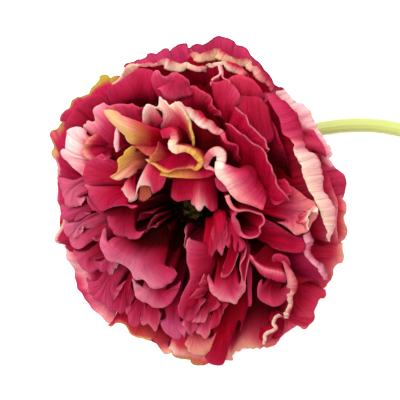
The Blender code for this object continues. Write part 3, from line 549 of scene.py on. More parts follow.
# Right petals, with the long cream band that turns over
RIGHT = [
    petal("far_right_red", claw=4, leave=14, calm=0.03, pale=[0, [0.2, 0.2, 0.6, 0.7, 0.4]], dark=[0.4, 0],
          rim=[(318, 150, 13), (322, 166, 13), (330, 180, 13), (335, 194, 13), (337, 206, 13),
               (337, 220, 13), (338, 234, 13), (337, 250, 13)],
          inner=[[(302, 160, 14), (308, 190, 14), (318, 220, 13), (322, 250, 13)]]),
    petal("pleats", claw=36, leave=22, crumple=0.4, ribs=0.1, calm=0.01, columns=72,
          pale=[0, [0.2, 0.5, 0.1, 0.45, 0.1, 0.45, 0.1, 0.4, 0.1], [0.4, 0.3, 0.4, 0.35, 0.3]],
          mauve=[0, 0.1, 0.3], dark=[0.3, [0, 0, 0.1, 0, 0.2, 0, 0.2, 0, 0.2], 0],
          rim=[(264, 90, 14), (271, 92, 13), (277, 95.5, 13), (279, 99, 13), (283, 102, 12.5),
               (287, 106, 12), (292, 111, 12), (297, 115, 12), (300, 121, 12.5), (303, 126, 13),
               (308, 129, 13.5), (314, 131, 14), (318, 137, 14), (322, 144, 14), (325, 150, 14),
               (327, 157, 15)],
          inner=[[(262, 122, 14), (272, 122, 13), (282, 130, 13), (292, 140, 14), (304, 156, 15),
                  (310, 164, 16)],
                 [(260, 108, 15), (268, 102, 18), (275, 112, 14.5), (281, 110, 18), (287, 120, 14),
                  (290, 128, 18), (298, 134, 15), (304, 143, 18), (314, 152, 15)]]),
    petal("crimson_side", claw=26, leave=36, ruffle=0.2, crumple=0.3, columns=32,
          pale=[0, [0.1, 0.1, 0.05, 0]], dark=[[0.5, 0.7], [0.1, 0.1, 0.6, 0.9]],
          rim=[(262, 112, 26), (269, 117, 25.5), (275, 126, 25), (280, 137, 24.5), (284, 148, 24),
               (287, 160, 23), (290, 172, 22), (293, 184, 20.5)],
          inner=[[(256, 130, 22), (266, 144, 21), (274, 162, 19), (281, 184, 17)]]),
    petal("cream_band", claw=14, leave=30, ruffle=0.3, crumple=0.4, ribs=0.2, calm=0.01, columns=110,
          pale=[0, [0, 0, 0.05, 0.2, 0.75, 0.75, 0.7, 0.75, 0.7, 0.7, 0.7],
                [0.35, 0.2, 0.2, 0.45, 1, 1, 1, 1, 1, 1, 1]],
          gold=[0, 0, [0, 0, 0, 0.1, 0.15, 0.25, 0.2, 0.2, 0.2]],
          mauve=[0, [0.5, 0.5, 0.5, 0.4, 0.4, 0.4, 0.4], [0.5, 0.5, 0.3, 0, 0, 0, 0, 0]],
          dark=[[0.1, 0.3, 0.4, 0.2, 0.1, 0.2], 0, 0],
          rim=[(267, 94, 25), (270, 102, 25.5), (274, 110, 26), (279, 118, 26.5), (281, 126, 27),
               (282, 132, 27), (286, 136, 27.5), (291, 140, 27.5), (294, 145, 28), (293, 149, 28),
               (294, 153, 28), (297, 158, 28), (299, 162, 27.5), (302, 165, 27.5), (302, 170, 27.5),
               (303, 176, 27), (305, 180, 27), (308, 186, 27), (309, 190, 27), (313, 196, 26.5),
               (315, 202, 26), (318, 208, 26), (320, 212, 25.5), (323, 219, 25), (325, 225, 24.5),
               (327, 231, 24), (326, 236, 23.5), (328, 241, 23)],
          inner=[[(260, 108, 19), (268, 122, 19), (277, 136, 20), (284, 148, 21), (288, 165, 20),
                  (292, 180, 20), (300, 200, 20), (308, 220, 19), (314, 240, 19)],
                 [(275, 92, 22), (283, 100, 22.5), (291, 110, 23), (297, 120, 23), (301, 131, 23),
                  (303, 141, 23), (306, 150, 23), (313, 153, 22.5), (318, 158, 22), (321, 168, 22),
                  (325, 180, 22), (323, 188, 22), (325, 194, 22), (332, 204, 22), (335, 214, 21),
                  (335, 225, 21), (331, 232, 21), (329, 242, 21)]]),
    petal("arc_outer", claw=42, leave=50, crumple=0.5, calm=0.01, roll=0.35, band=(1.2, 1.2), pale=[0, 0.5],
          rim=[(236, 106, 33), (240, 111, 33.5), (246, 118, 34), (250, 125, 34), (255, 130, 34),
               (261, 136, 34), (266, 140, 34), (268, 146, 34), (271, 149, 34), (269, 153, 35)],
          inner=[[(228, 126, 32), (238, 134, 32), (250, 142, 32), (262, 152, 33)]]),
    petal("arc_inner", claw=32, leave=54, crumple=0.7, calm=0.01, columns=64, roll=0.4, band=1.2,
          pale=[0, 0.45], dark=[[0.4, 0.3, 0.1], 0],
          rim=[(225, 124, 37), (235, 127, 37), (243, 131, 37), (247, 137, 37), (250, 142, 37),
               (257, 145, 36.5), (262, 149, 36), (265, 154, 36), (268, 160, 36), (271, 167, 36),
               (275, 175, 36), (277, 181, 35.5), (281, 187, 35), (285, 193, 35), (290, 200, 34)],
          inner=[[(232, 148, 34), (242, 156, 34), (256, 164, 34), (266, 178, 34), (272, 194, 33),
                  (276, 206, 33)]]),
    petal("arc_low", claw=12, leave=52, crumple=0.4, calm=0.01, band=1.2, pale=[0, [0.4, 0.35]],
          rim=[(285, 178, 31), (290, 186, 31), (292, 194, 31), (287, 196, 32), (281, 203, 32.5),
               (276, 205, 33), (271, 201, 33.5)],
          inner=[[(272, 180, 32), (272, 192, 32), (268, 198, 33)]]),
    petal("salmon_right", claw=352, leave=44, crumple=0.5, calm=0.01, columns=64,
          pale=[0, [0.1, 0.4, 0.45, 0.3], [0.2, 0.4, 0.5, 0.6, 0.65, 0.6, 0.45]],
          gold=[0, 0, [0, 0.1, 0.2, 0.2, 0.1, 0]], mauve=[0, [0.3, 0.4, 0.4, 0.2], [0.3, 0.2]],
          rim=[(280, 182, 29), (285, 184, 29), (293, 187, 28), (300, 192, 27.5), (306, 197, 27),
               (311, 200, 27), (314, 201, 27), (317, 207, 27), (318, 212, 27), (316, 219, 27),
               (312, 223, 27), (310, 228, 27), (307, 232, 27.5), (302, 233, 28), (297, 235, 28.5),
               (294, 234, 29), (290, 230, 29.5), (285, 226, 30), (278, 222, 31)],
          inner=[[(272, 196, 29), (276, 206, 29), (272, 216, 30)],
                 [(286, 196, 28), (294, 207, 28), (296, 216, 28), (286, 221, 29)]]),
    petal("cream_flap", claw=350, leave=46, width=0.3, crumple=0.2, calm=0.01, tuck=0, columns=32,
          pale=[0, 0.5, 1], gold=[0, 0, [0.25, 0.1]],
          rim=[(309, 230, 29), (307, 226, 29), (309, 219, 29), (310, 212, 29), (312, 208.5, 29),
               (318, 209, 29), (318, 214, 28.5)],
          inner=[[(296, 227, 26), (294, 220, 26), (296, 213, 26)],
                 [(306, 229, 28), (304, 220, 28), (306, 210, 28)]]),
    petal("magenta_lobe", claw=342, leave=40, ruffle=0.3, fold=0.3, crumple=0.2, pale=[0, [0.1, 0.1, 0.05]],
          mauve=[0, 0.1], dark=[0.2, [0.25, 0.1, 0.1, 0.15]],
          rim=[(260, 217, 31), (268, 220, 30), (277, 225, 28.5), (287, 231, 27), (296, 237, 26),
               (304, 239, 25), (306, 245, 25), (304, 251, 25), (296, 253, 26), (287, 252, 27),
               (279, 250, 28), (270, 246, 29)],
          inner=[[(256, 224, 29), (262, 233, 28), (268, 244, 27)]]),
    petal("white_ribbon", claw=340, leave=22, waves=5, ruffle=0.6, crumple=0.2, calm=0.01, columns=64,
          roll=(1.4, 2.8, 3.2, 2.8, 2.2, 1.8, 2.2, 2.6, 2.2, 1.2),
          band=(1.6, 3.4, 3.6, 3.2, 2.6, 2.6, 3, 3, 2.4),
          pale=(0.7, 0.8, 0.8, 0.7, 0.7, 0.8, 0.8, 0.7, 0.5), mauve=0.8, dark=[[0.2, 0.4], 0],
          rim=[(305, 230, 26), (308, 230, 26), (311, 233, 26), (313, 238, 25.5), (313, 243, 25),
               (311, 248, 24.5), (311, 253, 24), (314, 258, 23.5), (319, 262, 22.5), (323, 265, 22),
               (326, 270, 21), (328, 276, 20), (328, 280, 19)],
          inner=[[(288, 244, 22), (292, 256, 21), (300, 268, 19), (308, 280, 17)]]),
]

# Lower petals, seen on their backs and rims
LOWER = [
    petal("cup_low", claw=318, leave=40, crumple=0.4, pale=[0, [0.1, 0.15, 0], [0.4, 0.4, 0.3]],
          mauve=[0, 0, 0.3], dark=[0.6, [0.2, 0.5], 0],
          rim=[(262, 279, 29), (258, 284, 29), (257, 292, 28), (259, 299, 27), (264, 303, 26),
               (270, 305, 25), (278, 306, 23.5), (284, 303, 22), (288, 297, 21.5), (290, 288, 22),
               (288, 279, 23)],
          inner=[[(270, 274, 26), (275, 277, 25), (282, 275, 24)],
                 [(263, 284, 28), (270, 290, 25), (283, 287, 22.5)]]),
    petal("fold_low", claw=322, leave=50, ruffle=0.2, fold=0.2, crumple=0.1,
          pale=[0, 0, [0.5, 0.6, 0.6, 0.5], [0.05, 0.1, 0]], mauve=[0, 0, 0.3, 0], dark=[0.6, 0.5, 0, 0],
          rim=[(251, 261, 32), (257, 269, 31), (263, 275, 30), (270, 279, 29), (278, 281, 28.5),
               (286, 283, 28)],
          inner=[[(264, 246, 27), (274, 250, 25), (283, 255, 24), (290, 259, 23.5)],
                 [(253, 256, 32), (262, 264, 30.5), (272, 266, 29.5), (284, 268, 28)],
                 [(250, 255, 33.5), (256, 263, 32.5), (263, 268, 31.5), (271, 270.5, 30.5),
                  (279, 272, 29.5), (286, 275, 28.5)]]),
    petal("round_low", claw=328, leave=36, ruffle=0.2, fold=0.2, crumple=0.2, columns=32,
          pale=[0, [0.25, 0.2, 0.15]], mauve=0.2,
          rim=[(272, 262, 29), (272, 257, 29), (276, 254, 28.5), (282, 254, 28), (287, 257, 27.5),
               (290, 262, 27), (290, 268, 26.5)],
          inner=[[(274, 266, 27.5), (280, 266, 26.5), (286, 270, 26)]]),
    petal("ribbon_low", claw=326, leave=34, crumple=0.2, calm=0.01, tuck=1, columns=64,
          roll=(0.6, 1.8, 2.8, 3.6, 3.8, 3, 1.9, 1.5, 1.9, 1.6), band=(1.4, 3, 4, 4.4, 3.6, 2.4, 2.2, 2),
          pale=(0.5, 0.6, 0.7, 0.7, 0.8, 0.9, 1, 1), gold=(0, 0, 0, 0, 0.1, 0.3, 0.3), dark=[0.8, 0],
          rim=[(283, 260, 29), (286, 261, 28.5), (290, 268, 27.5), (294, 275, 26), (297, 282, 25),
               (297, 288, 24), (295, 293, 22.5), (292, 298, 21.5), (292, 307, 19), (291, 312, 18),
               (289, 318, 17)],
          inner=[[(276, 278, 20), (279, 292, 18), (279, 304, 16), (277, 314, 15)]]),
    petal("cream_low", claw=306, leave=14, crumple=0.2, calm=0.01, tuck=1, columns=64,
          roll=(1.6, 1.4, 1.2, 1.2, 1.3, 1.3, 1.1, 0.8), band=(2.6, 2.2, 1.6, 2, 2, 2, 1.6), pale=1,
          gold=(0.1, 0.1, 0.2, 0.3), dark=[[0.8, 0.8, 0.6, 0.4], 0],
          rim=[(289, 315, 19), (284, 316.5, 18), (280, 317, 17), (276, 320, 16.5), (274.5, 324, 16),
               (276.5, 328, 15.5), (274, 332, 15), (269, 335, 14.5), (266.5, 340, 14), (264, 345, 13)],
          inner=[[(272, 304, 13), (264, 310, 12), (259, 319, 11), (256, 332, 11)]]),
    petal("rose_low_right", claw=322, leave=10, crumple=0.5, pale=[0.1, 0.25], dark=[0.1, 0],
          rim=[(300, 308, 11), (305, 310, 11), (311, 310, 11), (314, 317, 11), (310, 324, 11),
               (303, 326, 11), (297, 323, 11)],
          inner=[[(286, 306, 12), (286, 314, 12), (286, 320, 12)]]),
    petal("rounded", claw=290, leave=48, crumple=0.4,
          pale=[0, [0.2, 0.45, 0.15, 0.3], [0.45, 0.6, 0.7, 0.6, 0.6]], mauve=[0, 0.4, 0.3],
          dark=[0.3, 0, 0],
          rim=[(209, 274, 31), (207, 279.3, 30), (208.6, 286.4, 29), (210.7, 291.4, 28.5),
               (215.7, 296.4, 28), (220, 300, 27.5), (228.6, 301.4, 27), (234.3, 303, 27), (237, 301.4, 27),
               (238.6, 298.6, 27.3), (243.6, 294.3, 28), (245.7, 286.8, 29), (244.6, 282, 29.5),
               (242, 277, 30)],
          inner=[[(216, 272, 28), (226, 275, 27), (238, 272, 28)],
                 [(213, 284, 29.5), (225, 289, 29), (240, 284, 29.5)]]),
    petal("strand", claw=306, leave=44, width=0.2, ruffle=0.1, crumple=0.1, columns=32, pale=0.25,
          mauve=0.1,
          rim=[(247, 270, 28), (247.5, 280, 27), (248, 290, 26), (248, 300, 25), (248.5, 306, 24.5),
               (251, 306, 24.5), (251, 295, 25.5), (250.5, 282, 27)],
          inner=[[(247, 264, 27), (249, 266, 27), (251, 266, 27)]]),
    petal("fan_a", claw=270, leave=30, ribs=0.2, pale=[0, [0.4, 0.35, 0.5]], mauve=[0.1, [0.5, 0.4]],
          dark=[[0.3, 0.4], 0],
          rim=[(180, 314, 21), (184, 319, 20), (188, 322, 19.5), (193, 320, 20), (196.4, 314, 21),
               (200.7, 307, 23), (206, 300, 25)],
          inner=[[(184, 298, 23), (192, 302, 22), (203, 294, 25)]]),
    petal("fan_b", claw=280, leave=30, ribs=0.2, pale=[0.1, [0.5, 0.6, 0.4, 0.4, 0.35]],
          mauve=[0, [0.4, 0.2]], dark=[[0.1, 0.3], 0],
          rim=[(193, 319, 19.5), (196, 322, 19), (199.3, 323, 19), (202, 324.5, 18.5), (204.3, 323, 19),
               (207, 318, 20), (210, 313, 21), (215.7, 308.6, 23), (222.9, 302, 26)],
          inner=[[(201, 306, 21), (208, 306, 22), (218, 298, 26)]]),
    petal("fan_c", claw=286, leave=28, ribs=0.2, pale=[0, [0.35, 0.25, 0.35, 0.3]], dark=[[0.2, 0.4], 0],
          rim=[(207, 322, 18), (210, 326, 17.5), (215, 327, 17), (220, 322, 18.5), (222, 316, 20),
               (225, 309, 22), (230, 303, 25)],
          inner=[[(212, 310, 19), (218, 308, 20), (226, 298, 25)]]),
    petal("lobe_low_a", claw=262, leave=20, crumple=0.4, columns=32, pale=[0.1, [0.6, 0.45, 0.4]],
          mauve=0.4,
          rim=[(182, 322, 17), (185, 328, 16), (188, 333, 15), (191.4, 336, 14.5), (194, 332, 16),
               (198, 324, 18)],
          inner=[[(186, 316, 17), (190, 318, 17), (196, 316, 18)]]),
    petal("lobe_low_b", claw=272, leave=20, crumple=0.4, columns=32, pale=[0.2, [0.6, 0.6, 0.35]],
          mauve=0.3,
          rim=[(195, 328, 16), (197, 333, 15.5), (200.5, 334, 15), (203, 338, 15), (205, 339, 15),
               (208.5, 335, 15.5), (211, 329, 17), (214, 320, 18)],
          inner=[[(199, 320, 16), (204, 322, 16), (211, 316, 18)]]),
    petal("peach_low", claw=266, leave=14, ribs=0.2, pale=[0.2, [0.45, 0.5, 0.35], [0.7, 0.75, 0.6, 0.4]],
          gold=[0, [0.1, 0.1, 0], [0.1, 0.25, 0.25, 0]],
          rim=[(183, 340, 12), (186, 347, 10), (190, 351, 9.5), (196, 353, 9), (202, 354, 9), (206, 355, 9),
               (210, 350, 10), (213, 342, 12), (217, 331, 15)],
          inner=[[(188, 326, 13), (198, 332, 12), (210, 328, 14)],
                 [(187, 338, 12), (198, 343, 11.5), (211, 338, 13)]]),
    petal("crimson_low", claw=280, leave=14, ruffle=0.2, fold=0.2, crumple=0.2, calm=0.03, tuck=1,
          pale=[0, 0, [0.15, 0.05, 0.05, 0.1]], dark=[[0.2, 0.3, 0.4, 0.3], [0, 0, 0.1, 0.2], 0],
          rim=[(205, 357, 7), (206.4, 359, 7), (210, 363, 6), (216.4, 365.4, 6), (222.9, 364.3, 6),
               (226, 355, 7), (231, 346, 9), (236, 338, 11), (241, 330, 12.5)],
          inner=[[(214, 326, 14), (224, 314, 16), (236, 305, 17), (250, 298, 17)],
                 [(211, 346, 10.5), (220, 340, 11.5), (231, 328, 13.5), (246, 314, 15)]]),
]

# Left petals: small crowded folds, fans and ruffles
LEFT = [
    petal("fold_1", claw=172, leave=20, crumple=0.8, calm=0.03,
          pale=[0.3, [0.4, 0.5, 0.45], [0.45, 0.45, 0.5, 0.65]], mauve=[0.4, 0.7, 0.7],
          rim=[(58, 176, 21), (60, 184, 20), (61, 192, 20), (63, 200, 20), (68, 206, 21), (76, 207, 23),
               (83, 204, 26), (86, 196, 28)],
          inner=[[(92, 172, 28), (92, 182, 28), (92, 190, 29)],
                 [(74, 180, 25), (74, 190, 25), (80, 197, 26.5)]]),
    petal("fold_2", claw=184, leave=18, crumple=0.7, calm=0.03, pale=[0.1, [0.3, 0.4], [0.4, 0.3, 0.4]],
          mauve=[0.6, 0.9, 0.8],
          rim=[(61, 204, 17), (62, 211, 16), (64, 218, 16), (70, 221, 17), (78, 220, 20), (86, 216, 23),
               (92, 212, 26)],
          inner=[[(92, 202, 27), (93, 207, 27), (96, 210, 27)],
                 [(74, 208, 20), (78, 212, 21), (86, 211, 24)]]),
    petal("fold_3", claw=190, leave=18, crumple=0.6, calm=0.03,
          pale=[[0.3, 0.4], [0.5, 0.6], [0.5, 0.5, 0.6]], mauve=[0.6, 1, 0.7],
          rim=[(64, 221, 15), (65, 228, 14.5), (67, 234, 14.5), (71, 238, 15), (77, 237, 17), (83, 231, 21),
               (86, 224, 24)],
          inner=[[(92, 214, 27), (94, 222, 26), (94, 228, 26)],
                 [(74, 222, 18), (76, 229, 18), (82, 228, 21)]]),
    petal("fold_4", claw=194, leave=18, crumple=0.6, calm=0.03, pale=[0.2, [0.5, 0.45, 0.4]],
          mauve=[0.4, [0.8, 0.7]], dark=[[0.1, 0.2], 0],
          rim=[(69, 238, 14), (71, 245, 13.5), (75, 248, 14), (82, 247, 16), (89, 242, 20), (93, 234, 24)],
          inner=[[(100, 224, 27), (102, 232, 26), (104, 240, 26)]]),
    petal("fold_5", claw=202, leave=16, crumple=0.6,
          pale=[[0.05, 0.1], [0.4, 0.25, 0.3], [0.4, 0.4, 0.35, 0.4]], mauve=[0.2, [0.6, 0.5], [0.7, 0.6]],
          dark=[[0.3, 0.4], 0, 0],
          rim=[(73, 249, 13), (76, 256, 12.5), (79, 263, 12), (83, 269, 12), (89, 271.5, 13), (95, 271, 15),
               (101, 267, 18), (106, 260, 22)],
          inner=[[(100, 242, 24), (106, 250, 24), (110, 256, 24)],
                 [(82, 252, 16), (88, 260, 16), (97, 261, 18)]]),
    petal("fold_6", claw=210, leave=20, crumple=0.4, columns=32, pale=[[0.2, 0.5], [0.2, 0.4, 0.8, 0.7]],
          mauve=0.7,
          rim=[(98, 266, 19), (101, 271, 18), (106, 275, 17.5), (111, 274, 18), (115, 269, 20),
               (120, 263, 23)],
          inner=[[(106, 256, 22), (112, 262, 22), (118, 262, 24)]]),
    petal("fan_left", claw=220, leave=12, crumple=0.5, ribs=0.35, columns=64,
          pale=[[0.2, 0.25], [0.3, 0.35, 0.3, 0.3], [0.3, 0.3, 0.3, 0.5, 0.4]],
          mauve=[0.5, [0.7, 0.4], [0.7, 0.7, 0.3]],
          rim=[(86, 278, 14), (88, 284, 13.5), (89, 290, 13), (92, 296, 12.5), (98, 301, 12),
               (105, 305, 12), (111, 309, 12), (114, 301, 14), (119, 292, 17), (125.5, 282, 21)],
          inner=[[(104, 272, 18), (112, 278, 18), (120, 280, 20)],
                 [(95, 282, 15.5), (102, 291, 14.5), (110, 294, 15.5), (118, 286, 19)]]),
    petal("fan_left_b", claw=228, leave=12, crumple=0.5, ribs=0.3, pale=[0.05, [0.3, 0.2, 0.2]],
          mauve=[0.3, [0.5, 0.4]],
          rim=[(108, 306, 11.5), (112, 310, 11), (119, 312, 11), (127, 311, 11.5), (132, 304, 14),
               (134, 294, 18)],
          inner=[[(120, 288, 17), (126, 288, 18), (131, 282, 20)]]),
    petal("ruffle_a", claw=236, leave=14, crumple=0.5, columns=32, pale=[0.05, [0.45, 0.35, 0.4]],
          mauve=0.4,
          rim=[(126, 308, 13.5), (128, 317, 12.5), (133, 325, 11.5), (138, 326, 11.5), (142, 320, 12.5),
               (147, 310, 15)],
          inner=[[(134, 300, 15), (139, 302, 15), (146, 300, 17)]]),
    petal("ruffle_b", claw=242, leave=14, crumple=0.5, columns=32, pale=[0.05, [0.55, 0.5, 0.3]], mauve=0.3,
          rim=[(140, 317, 13.5), (143, 325, 12), (147.5, 324, 12), (151, 328, 11.5), (155, 332, 11),
               (158, 326, 12), (160, 320, 14), (162, 312, 16)],
          inner=[[(146, 304, 15.5), (151, 307, 15.5), (158, 305, 17)]]),
    petal("mauve_low", claw=254, leave=14, crumple=0.5, pale=[0.1, [0.3, 0.45, 0.3], [0.45, 0.4, 0.5]],
          mauve=[0.5, 1, [1, 0.8]],
          rim=[(160, 320, 14), (163, 328, 12.5), (168, 334, 12), (174, 339, 11.5), (181, 341, 11.5),
               (185, 336, 13), (187, 328, 15), (185, 320, 17)],
          inner=[[(164, 308, 16), (172, 311, 16), (180, 310, 18)],
                 [(165, 319, 14.5), (173, 326, 14), (181, 322, 16)]]),
    petal("top_tongue", claw=168, leave=48, crumple=0.8,
          pale=[0, [0.35, 0.15, 0, 0], [0.55, 0.25, 0.15, 0.3, 0.4, 0.3]],
          mauve=[0.1, [0.3, 0.2, 0.1], [0.5, 0.3]], dark=[[0.1, 0.2], [0, 0, 0.1], 0],
          rim=[(85, 184, 33.5), (86.5, 193, 33), (91, 202, 32.5), (95, 208, 32.5), (99, 210.5, 33),
               (106, 208, 34), (115, 206.5, 35), (123, 207, 36), (131, 209, 37), (138, 206, 38)],
          inner=[[(118, 186, 33), (126, 190, 33), (136, 194, 34)],
                 [(96, 186, 34.5), (102, 196, 35), (112, 201, 35.5), (128, 204, 36.5)]]),
    petal("upper_tongue", claw=184, leave=44, crumple=0.8,
          pale=[0, [0.15, 0.1, 0.2, 0.05], [0.4, 0.35, 0.35, 0.4, 0.3]], mauve=[0.1, 0.4, 0.5],
          dark=[[0.6, 0.6, 0.5], [0.3, 0.3, 0.2, 0.15], [0.05, 0]],
          rim=[(86, 196, 31), (88, 203, 30.5), (92.5, 209, 30), (98.6, 212, 29.5), (103.5, 214.6, 29),
               (107, 220, 28.5), (110.8, 227.4, 28), (114, 232, 28), (118, 236, 28.5), (128, 238.5, 30),
               (136, 238, 31.5), (141, 236.5, 33), (144, 231, 34)],
          inner=[[(112, 209, 31), (124, 212, 31), (136, 216, 32)],
                 [(102, 210, 30.5), (112, 217, 30.5), (124, 228, 31), (137, 230, 33)]]),
    petal("big_tongue", claw=212, leave=50, crumple=0.9, calm=0.01, columns=72,
          pale=[0, [0.3, 0.25, 0.3, 0.2, 0], [0.45, 0.4, 0.5, 0.35, 0.05],
                [0.5, 0.55, 0.6, 0.7, 0.4, 0.15]],
          mauve=[0, [0.5, 0.5, 0.4], [0.8, 0.8, 0.9, 0.7, 0.3], [0.8, 0.8, 0.8, 0.7, 0.3]],
          dark=[[0.9, 1, 0.9, 0.8], [0.1, 0.45, 0.5, 0.4, 0.3], [0, 0, 0, 0.05, 0.1], 0],
          rim=[(104, 229, 31), (101, 231, 31), (100.4, 236, 31), (100.4, 241, 30.5), (101.6, 247, 30),
               (104.7, 253, 29.5), (110, 259, 29), (118, 261, 28.5), (122, 263.5, 28), (126.6, 268.7, 27.5),
               (130, 272.5, 27.3), (132.6, 277, 27), (136.3, 280, 26.8), (142.4, 280.5, 26.5),
               (147, 283, 26.3), (152, 287.5, 26), (157, 288.8, 26), (163, 287.5, 26.2), (168, 284, 26.7),
               (172.7, 281, 27.2), (176.4, 276, 28), (177, 272, 28.5), (172, 266, 30)],
          inner=[[(132, 236, 29), (146, 238, 28), (158, 241, 28), (168, 246, 29)],
                 [(113, 238, 31), (125, 244, 30), (139, 249, 29), (153, 251, 28.5), (166, 255, 29.2)],
                 [(108, 242, 31.4), (120, 254, 30.5), (135, 260, 29.7), (150, 263, 29.2),
                  (164, 265, 29.5)]]),
    petal("second_tongue", claw=238, leave=36, crumple=0.8,
          pale=[0.1, [0.6, 0.45, 0.1, 0], [0.7, 0.6, 0.5, 0.3, 0.15]],
          mauve=[0.1, [0.7, 0.6, 0.2], [0.7, 0.5]], dark=[[0.4, 0.5, 0.5], 0, 0],
          rim=[(133, 277, 24), (133, 283, 23), (133.9, 289.4, 22), (137.5, 296.7, 21), (143.6, 302.7, 20),
               (151, 306.4, 19.5), (157, 309, 19), (162, 309, 19.2), (170, 303, 21), (175, 297, 23),
               (179, 289.4, 25), (181, 281, 27.5)],
          inner=[[(146, 276, 23), (158, 280, 23), (172, 276, 26)],
                 [(141, 288, 22.5), (154, 295, 21.5), (167, 290, 24)]]),
    petal("slit_petal", claw=276, leave=44, crumple=0.5,
          pale=[[0.1, 0], [0.45, 0.15, 0, 0.05], [0.6, 0.4, 0.4, 0.4, 0.3]],
          mauve=[[0.3, 0], [0.6, 0.2, 0.1], [0.6, 0.3, 0.2]], dark=[[0.2, 0.2, 0.3], 0.1, 0],
          rim=[(188, 236, 36), (186.5, 244, 35), (186.5, 254, 34), (187, 264, 33), (189.5, 270, 32.5),
               (190, 279, 31.5), (186.4, 286.4, 29.5), (183.2, 292, 28.5), (181, 297, 27.5),
               (179.6, 303, 26.5), (177.5, 308.6, 25), (178, 314, 24), (184, 319, 22)],
          inner=[[(206, 244, 31), (206, 258, 30), (205, 274, 28.5), (202, 290, 26), (196, 306, 23)],
                 [(193, 240, 34), (193, 258, 33), (196, 276, 31), (191, 292, 28), (186, 310, 24)]]),
    petal("slit_fold", claw=284, leave=42, crumple=0.4, columns=32, pale=[0, [0.45, 0.4, 0.3]],
          dark=[[0.4, 0.6], 0],
          rim=[(204, 272, 31), (200, 281, 30), (197, 289, 28.5), (192, 294.5, 27.5), (189.3, 299, 26.5),
               (193, 299, 26), (202, 296, 26)],
          inner=[[(212, 280, 27), (210, 286, 26), (208, 292, 25)]]),
]

